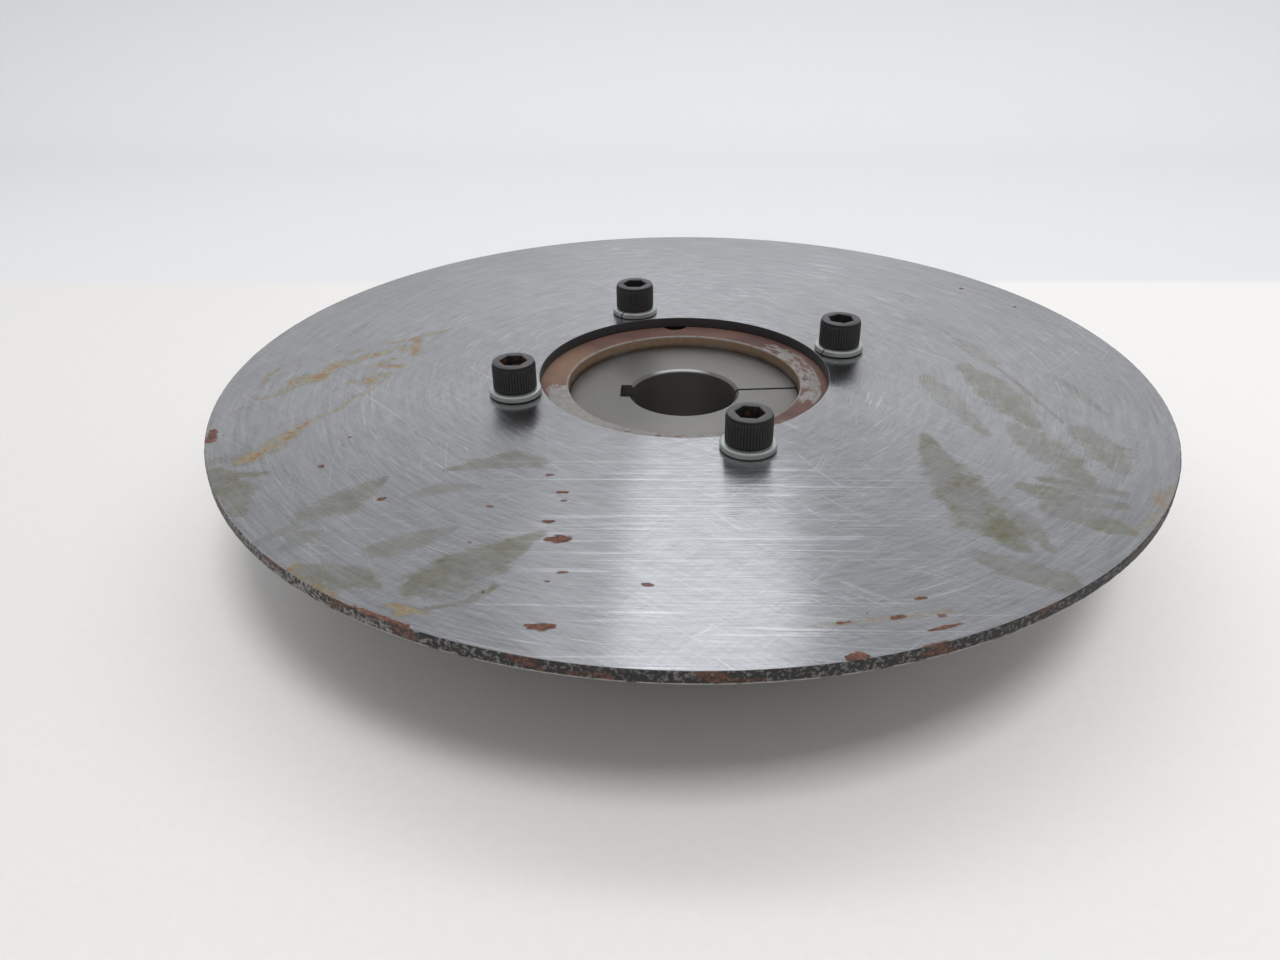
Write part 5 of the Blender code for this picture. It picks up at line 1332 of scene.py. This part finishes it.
def torque_arm_mesh():
    """The torque arm, with its slot for an anchor pin and two countersunk holes."""
    half = ARM_HALF_WIDTH
    edge = [(-half, ARM_START), (half, ARM_START)]
    edge += arc((0.0, ARM_END - half), half, 0.0, math.pi, MEDIUM_SIDES)
    slot = arc((0.0, ARM_SLOT_END), ARM_SLOT_RADIUS, 0.0, math.pi, HOLE_SIDES)
    slot += arc((0.0, ARM_SLOT_START), ARM_SLOT_RADIUS, math.pi, math.tau, HOLE_SIDES)
    sinks = []
    for place in ARM_SCREW_PLACES:
        sink = turned_solid("sink", [
            (ARM_SCREW_SHANK_RADIUS + FIT_GAP, ARM_TOP + CUT_PAST, 0.0),
            (ARM_SCREW_SHANK_RADIUS + FIT_GAP, ARM_SCREW_CONE_TOP, 0.0),
            (ARM_SCREW_HEAD_RADIUS + FIT_GAP, ARM_SCREW_BOTTOM, 0.0),
            (ARM_SCREW_HEAD_RADIUS + FIT_GAP, ARM_BOTTOM - CUT_PAST, 0.0),
        ])
        sinks.append(placed(sink, place))
    return cut(outline_mesh("torque_arm", [edge, slot], ARM_BOTTOM, ARM_TOP), *sinks)


def arm_screw_mesh(place):
    """One countersunk torque arm screw."""
    chamfer = ARM_SCREW_CHAMFER
    side = [
        (ARM_SCREW_HEAD_RADIUS - chamfer / 2, ARM_SCREW_BOTTOM),
        (ARM_SCREW_HEAD_RADIUS, ARM_SCREW_BOTTOM + chamfer / 2),
        (ARM_SCREW_SHANK_RADIUS, ARM_SCREW_CONE_TOP),
        (ARM_SCREW_SHANK_RADIUS, ARM_SCREW_TOP - chamfer),
        (ARM_SCREW_SHANK_RADIUS - chamfer, ARM_SCREW_TOP),
    ]
    mesh = socket_screw_mesh("arm_screw", side, ARM_SCREW_SOCKET_RADIUS, ARM_SCREW_SOCKET_DEPTH)
    return placed(mesh, place)


def set_screw_mesh(number):
    """One of the bushing's set screws, in its half hole."""
    low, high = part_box(f"bushing_set_screw_{number}")
    side = [
        (SET_SCREW_RADIUS - HEAD_CHAMFER, low.z), (SET_SCREW_RADIUS, low.z + HEAD_CHAMFER),
        (SET_SCREW_RADIUS, high.z - HEAD_CHAMFER), (SET_SCREW_RADIUS - HEAD_CHAMFER, high.z),
    ]
    mesh = socket_screw_mesh("set_screw", side, SET_SCREW_SOCKET_RADIUS, SET_SCREW_SOCKET_DEPTH)
    return placed(mesh, polar(HALF_HOLE_CIRCLE_RADIUS, SET_SCREW_ANGLES[number - 1]))


def terminal_place(radius, sign):
    """Sets a shape along Z to look outward at a terminal, in the block's own axes, X outward."""
    place = Matrix.Translation((radius, sign * TERMINAL_SCREW_SPACING / 2, TERMINAL_MIDDLE))
    return place @ Matrix.Rotation(math.pi / 2, 4, "Y")


def terminal_block_mesh():
    """The moulded terminal block, with rounded edges, fitted to the shell's round side."""
    half = TERMINAL_WIDTH / 2
    low = (TERMINAL_INNER_FACE, -half, TERMINAL_BOTTOM)
    shape = box_shape(low, (TERMINAL_OUTER_FACE, half, TERMINAL_TOP))
    bmesh.ops.bevel(
        shape, geom=shape.edges[:], offset=TERMINAL_FILLET, segments=FILLET_STEPS, affect="EDGES", profile=0.5
    )
    mesh = mesh_of(shape, "terminal_block")
    cutters = [cylinder_mesh(SHELL_RADIUS + FIT_GAP, -CUT_PAST, TERMINAL_TOP + CUT_PAST, sides=LARGE_SIDES)]
    for sign in (-1, 1):
        hole = cylinder_mesh(TERMINAL_HOLE_RADIUS, -TERMINAL_HOLE_DEPTH, CUT_PAST)
        hole.transform(terminal_place(TERMINAL_OUTER_FACE, sign))
        cutters.append(hole)
    half, depth = TERMINAL_GROOVE_WIDTH / 2, TERMINAL_GROOVE_DEPTH
    cutters.append(box_mesh(
        (TERMINAL_OUTER_FACE - depth, -half, TERMINAL_BOTTOM - CUT_PAST),
        (TERMINAL_OUTER_FACE + CUT_PAST, half, TERMINAL_TOP + CUT_PAST),
    ))
    mesh = cut(mesh, *cutters)
    mesh.transform(TERMINAL_TURN)
    return mesh


def terminal_screw_mesh(sign):
    """One slotted terminal screw, its head on the block's outer face."""
    head = TERMINAL_HEAD_HEIGHT
    mesh = turned_solid("terminal_screw", [
        (TERMINAL_HEAD_RADIUS, head, 0.6 * MM),
        (TERMINAL_HEAD_RADIUS, 0.0, 0.2 * MM),
        (TERMINAL_SHANK_RADIUS, 0.0, 0.0),
        (TERMINAL_SHANK_RADIUS, -TERMINAL_SCREW_LENGTH, 0.3 * MM),
    ])
    reach = TERMINAL_HEAD_RADIUS + CUT_PAST
    half = DRIVE_SLOT_WIDTH / 2
    mesh = cut(mesh, box_mesh((-reach, -half, head - DRIVE_SLOT_DEPTH), (reach, half, head + CUT_PAST)))
    mesh.transform(TERMINAL_TURN @ terminal_place(TERMINAL_OUTER_FACE + SEAT_GAP, sign))
    return mesh


def plain_finish(name, colour, metallic, rough_low, rough_high, depth=0.02 * MM, tint=None):
    """A turned or moulded finish: tone, roughness and bump from marks round the axis and fine grain."""
    f = Finish(name)
    turning = f.turning(1500.0, 5.0, 1500.0, detail=3.0)
    bands = f.turning(375.0, 2.0, 375.0, detail=2.0)
    cloud = f.grain(55.0, detail=5.0)
    speck = f.grain(1500.0, detail=3.0)
    blotch = f.step(cloud, 0.46, 0.75)
    tone = f.span(turning, 0.84, 1.16) + f.span(bands, -0.22, 0.22) + f.span(speck, -0.10, 0.10)
    colour = f.shade(colour, tone)
    if tint is not None:
        colour = f.colour(blotch * 0.45, colour, tint)
    rough = f.span(turning, rough_low, rough_high) + blotch * 0.10
    normal = f.bump(turning + bands * 1.5 + speck * 0.5, depth)
    return f.wire(Base_Color=colour, Metallic=metallic, Roughness=rough, Normal=normal)


def keep_node(node, finish):
    """Gives a CAD node that keeps its shape its finish."""
    for material_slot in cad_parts[node].material_slots:
        material_slot.link = "OBJECT"
        material_slot.material = finish


# ---------------------------------------------------------------- studio

CAMERA_DISTANCE = 348.6 * MM
CAMERA_ELEVATION = math.radians(24.0852)
CAMERA_TURN = math.radians(2.4387)
CAMERA_TILT = math.radians(-6.2702)
CAMERA_ROLL = math.radians(-0.4228)
CAMERA_LENS = 28.189
CAMERA_SENSOR = 36.0
CAMERA_CLIP_START = 0.01


def make_camera():
    """The camera, low in front of the disc."""
    target = Vector((0.0, 0.0, DISC_TOP))
    offset = Vector((0.0, -math.cos(CAMERA_ELEVATION), math.sin(CAMERA_ELEVATION))) * CAMERA_DISTANCE
    forward = -offset.normalized()
    right = Vector((1.0, 0.0, 0.0))
    up = right.cross(forward)
    turn = Matrix.Rotation(CAMERA_TURN, 3, up)
    forward, right = turn @ forward, turn @ right
    tilt = Matrix.Rotation(CAMERA_TILT, 3, right)
    forward, up = tilt @ forward, tilt @ up
    roll = Matrix.Rotation(CAMERA_ROLL, 3, forward)
    right, up = roll @ right, roll @ up
    data = bpy.data.cameras.new("camera")
    data.lens = CAMERA_LENS
    data.sensor_width = CAMERA_SENSOR
    data.clip_start = CAMERA_CLIP_START
    camera = linked("camera", data)
    facing = Matrix((right, up, -forward)).transposed().to_4x4()
    camera.matrix_world = Matrix.Translation(target + offset) @ facing
    bpy.context.scene.camera = camera


FLOOR_SIZE = 6.0
FLOOR_SEAM = 0.244
FLOOR_SEAM_LEAN = -0.012
FLOOR_SEAM_BLUR = 0.006
COVE_Y = 0.56
COVE_RADIUS = 0.15
COVE_STEPS = 16
WALL_HEIGHT = 0.50
FLOOR_PALE = ((0.745, 0.735, 0.72), (0.775, 0.765, 0.75))
BACKDROP_PALE = (0.67, 0.68, 0.695)
WORLD_LOW = (0.47, 0.46, 0.445, 1.0)
WORLD_HIGH = (0.62, 0.63, 0.65, 1.0)
WORLD_HIGH_AT = 0.8
WORLD_LEAN = 0.55
WORLD_STRENGTH = 0.9
WINDOW_AIM = (0.0, -0.1, 0.05)


def area_light(name, place, aim, size, power, colour, diffuse=True, glossy=True):
    """A soft panel light, which can be left out of matt or of glossy light."""
    data = bpy.data.lights.new(name, "AREA")
    data.shape = "RECTANGLE"
    data.size, data.size_y = size
    data.energy = power
    data.color = colour
    light = linked(name, data)
    light.location = place
    light.rotation_euler = (Vector(aim) - Vector(place)).to_track_quat("-Z", "Y").to_euler()
    light.visible_camera = False
    light.visible_diffuse = diffuse
    light.visible_glossy = glossy


def floor_finish():
    """Pale matt sheet, with painted shade darkening it towards the left, and past its far edge a slightly
    bluer backdrop.
    """
    f = Finish("pale_floor", Specular_IOR_Level=0.2)
    paper = f.grain(300.0, detail=4.0)
    cloud = f.grain(3.0, detail=3.0)
    far = f.step(f.y + f.x * FLOOR_SEAM_LEAN, FLOOR_SEAM - FLOOR_SEAM_BLUR, FLOOR_SEAM + FLOOR_SEAM_BLUR)
    near_colour = f.shade(f.colour(cloud, *FLOOR_PALE), f.span(paper, 0.97, 1.03))
    # Painted shade: the floor darkens towards the left.
    near_colour = f.shade(near_colour, f.span(f.step(f.x, -0.30, -0.05), 0.91, 1.0))
    normal = f.bump(paper, 0.03 * MM, strength=0.5)
    return f.wire(Base_Color=f.colour(far, near_colour, BACKDROP_PALE), Roughness=0.8, Normal=normal)


def make_floor():
    """The floor, which curves up into the backdrop behind the object."""
    half = FLOOR_SIZE / 2
    bends = [math.pi / 2 * i / COVE_STEPS for i in range(COVE_STEPS + 1)]
    cove = [(COVE_Y + COVE_RADIUS * math.sin(a), COVE_RADIUS * (1 - math.cos(a))) for a in bends]
    outline = [(-half, 0.0), *cove, (COVE_Y + COVE_RADIUS, WALL_HEIGHT)]
    corners = [(x, y, z) for y, z in outline for x in (-half, half)]
    faces = [(i, i + 1, i + 3, i + 2) for i in range(0, len(corners) - 2, 2)]
    mesh = bpy.data.meshes.new("floor")
    mesh.from_pydata(corners, [], faces)
    mesh.shade_smooth()
    mesh.materials.append(floor_finish())
    linked("floor", mesh)


def make_world():
    """Even light from all round, a little warmer from low in front than from high behind."""
    world = bpy.data.worlds.new("studio")
    bpy.context.scene.world = world
    world.use_nodes = True
    nodes, links = world.node_tree.nodes, world.node_tree.links
    background = nodes["Background"]
    split = nodes.new("ShaderNodeSeparateXYZ")
    links.new(nodes.new("ShaderNodeTexCoord").outputs["Generated"], split.inputs["Vector"])
    lean = nodes.new("ShaderNodeMath")
    lean.operation = "MULTIPLY_ADD"
    links.new(split.outputs["Y"], lean.inputs[0])
    lean.inputs[1].default_value = WORLD_LEAN
    links.new(split.outputs["Z"], lean.inputs[2])
    ramp = nodes.new("ShaderNodeValToRGB")
    links.new(lean.outputs["Value"], ramp.inputs["Fac"])
    low, high = ramp.color_ramp.elements
    low.position, low.color = 0.0, WORLD_LOW
    high.position, high.color = WORLD_HIGH_AT, WORLD_HIGH
    links.new(ramp.outputs["Color"], background.inputs["Color"])
    background.inputs["Strength"].default_value = WORLD_STRENGTH


def make_studio():
    """The floor, the world, a key light in front, two window panels behind and a light for the wall."""
    make_floor()
    make_world()
    area_light("overhead", (0.28, -0.80, 2.0), (0.0, 0.02, 0.0), (0.60, 0.60), 21.5, (1.0, 0.99, 0.98),
               glossy=False)
    area_light("window", (0.029, 0.50, 0.61), WINDOW_AIM, (0.205, 0.32), 0.32, (0.95, 0.97, 1.0),
               diffuse=False)
    area_light("window_side", (-0.125, 0.50, 0.60), WINDOW_AIM, (0.09, 0.34), 0.045, (0.97, 0.98, 1.0),
               diffuse=False)
    area_light("wall_light", (0.0, 0.10, 0.85), (0.0, 0.70, 0.14), (1.6, 0.3), 4.25, (0.98, 0.985, 1.0),
               glossy=False)
    bpy.context.scene.view_settings.view_transform = "Standard"


# ---------------------------------------------------------------- assembly

make_camera()
make_studio()

ground_steel = ground_steel_finish()
cast_iron = hub_finish()
bushing_steel = bushing_finish()
zinc = zinc_finish()
machined = plain_finish("machined_steel", (0.27, 0.268, 0.27), 0.95, 0.34, 0.48, tint=(0.15, 0.115, 0.09))
spring_steel = plain_finish("spring_steel", (0.16, 0.17, 0.19), 0.95, 0.28, 0.42)
bearing_steel = plain_finish("bearing_steel", (0.58, 0.59, 0.60), 1.0, 0.14, 0.24, depth=0.008 * MM)
cage_steel = plain_finish("bearing_cage", (0.42, 0.36, 0.22), 0.95, 0.25, 0.4)
rubber = plain_finish("seal_rubber", (0.02, 0.02, 0.021), 0.0, 0.55, 0.7)
lining = plain_finish("friction_lining", (0.13, 0.10, 0.075), 0.0, 0.75, 0.9, 0.08 * MM, (0.22, 0.19, 0.15))
plastic = plain_finish("bobbin_plastic", (0.045, 0.045, 0.05), 0.0, 0.4, 0.5)
copper = plain_finish("copper", (0.55, 0.25, 0.13), 1.0, 0.25, 0.35)
potting = plain_finish("potting", (0.035, 0.03, 0.028), 0.0, 0.35, 0.5, depth=0.05 * MM)
black_oxide = black_oxide_finish("black_oxide")

add_piece("clutch_disc", disc_mesh(), ground_steel, "hub")
add_piece("hub", hub_mesh(), cast_iron, "hub")
add_piece("taper_bushing", bushing_mesh(), bushing_steel, "hub")
screw_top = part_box("disc_screw_1")[1].z
for number, rusty in enumerate(SOCKET_RUSTINESS, start=1):
    place = polar(SCREW_CIRCLE_RADIUS, SCREW_ANGLES[number - 1])
    oxide = black_oxide_finish(f"black_oxide_{number}", screw_top, rusty, place)
    add_piece(f"disc_screw_{number}", disc_screw_mesh(number), oxide, "hub")
    washer = lock_washer_mesh(number)
    add_piece(f"lock_washer_{number}", washer, zinc, "hub", sharp=WASHER_SHARP)

add_piece("armature_plate", armature_plate_mesh(), machined, "armature")
add_piece("armature_spring", armature_spring_mesh(), spring_steel, "hub")
for number in range(1, 5):
    add_piece(f"armature_rivet_{number}", rivet_mesh(number), machined, "armature")
add_piece("rotor", rotor_mesh(), machined, "rotor")
ring_piece("friction_lining", LINING_GROOVE_INNER + FIT_GAP, lining, "rotor")
add_piece("field_shell", field_shell_mesh(), machined, "field")
ring_piece("coil_potting", COIL_INNER_RADIUS, potting, "field")
ring_piece("bearing_spacer", BEARING_BORE_RADIUS, machined, "hub")
for bearing, outer_body in (("field_bearing", "field"), ("rotor_bearing", "rotor")):
    node = f"{bearing}_inner_race"
    mesh = race_mesh(node, BEARING_BORE_RADIUS, INNER_RACE_RADIUS, 1)
    add_piece(node, mesh, bearing_steel, "hub")
    node = f"{bearing}_outer_race"
    mesh = race_mesh(node, OUTER_RACE_RADIUS, BEARING_RADIUS, -1)
    add_piece(node, mesh, bearing_steel, outer_body)
    for side in ("lower", "upper"):
        node = f"{bearing}_{side}_seal"
        ring_piece(node, SEAL_INNER_RADIUS, rubber, outer_body, SEAL_FILLET)
for body, (inner, outer, gap) in RETAINING_RINGS.items():
    node = f"{body}_retaining_ring"
    add_piece(node, split_ring_mesh(node, inner, outer, gap), spring_steel, body)
for number in (1, 2):
    add_piece(f"bushing_set_screw_{number}", set_screw_mesh(number), black_oxide, "hub")
add_piece("torque_arm", torque_arm_mesh(), machined, "field")
for number, place in enumerate(ARM_SCREW_PLACES, start=1):
    add_piece(f"torque_arm_screw_{number}", arm_screw_mesh(place), black_oxide, "field")
add_piece("terminal_block", terminal_block_mesh(), plastic, "field")
for number, sign in ((1, -1), (2, 1)):
    add_piece(f"terminal_screw_{number}", terminal_screw_mesh(sign), zinc, "field")
keep_node("coil_bobbin", plastic)
keep_node("coil_winding", copper)
keep_node("field_bearing_cage_and_balls", cage_steel)
keep_node("rotor_bearing_cage_and_balls", cage_steel)
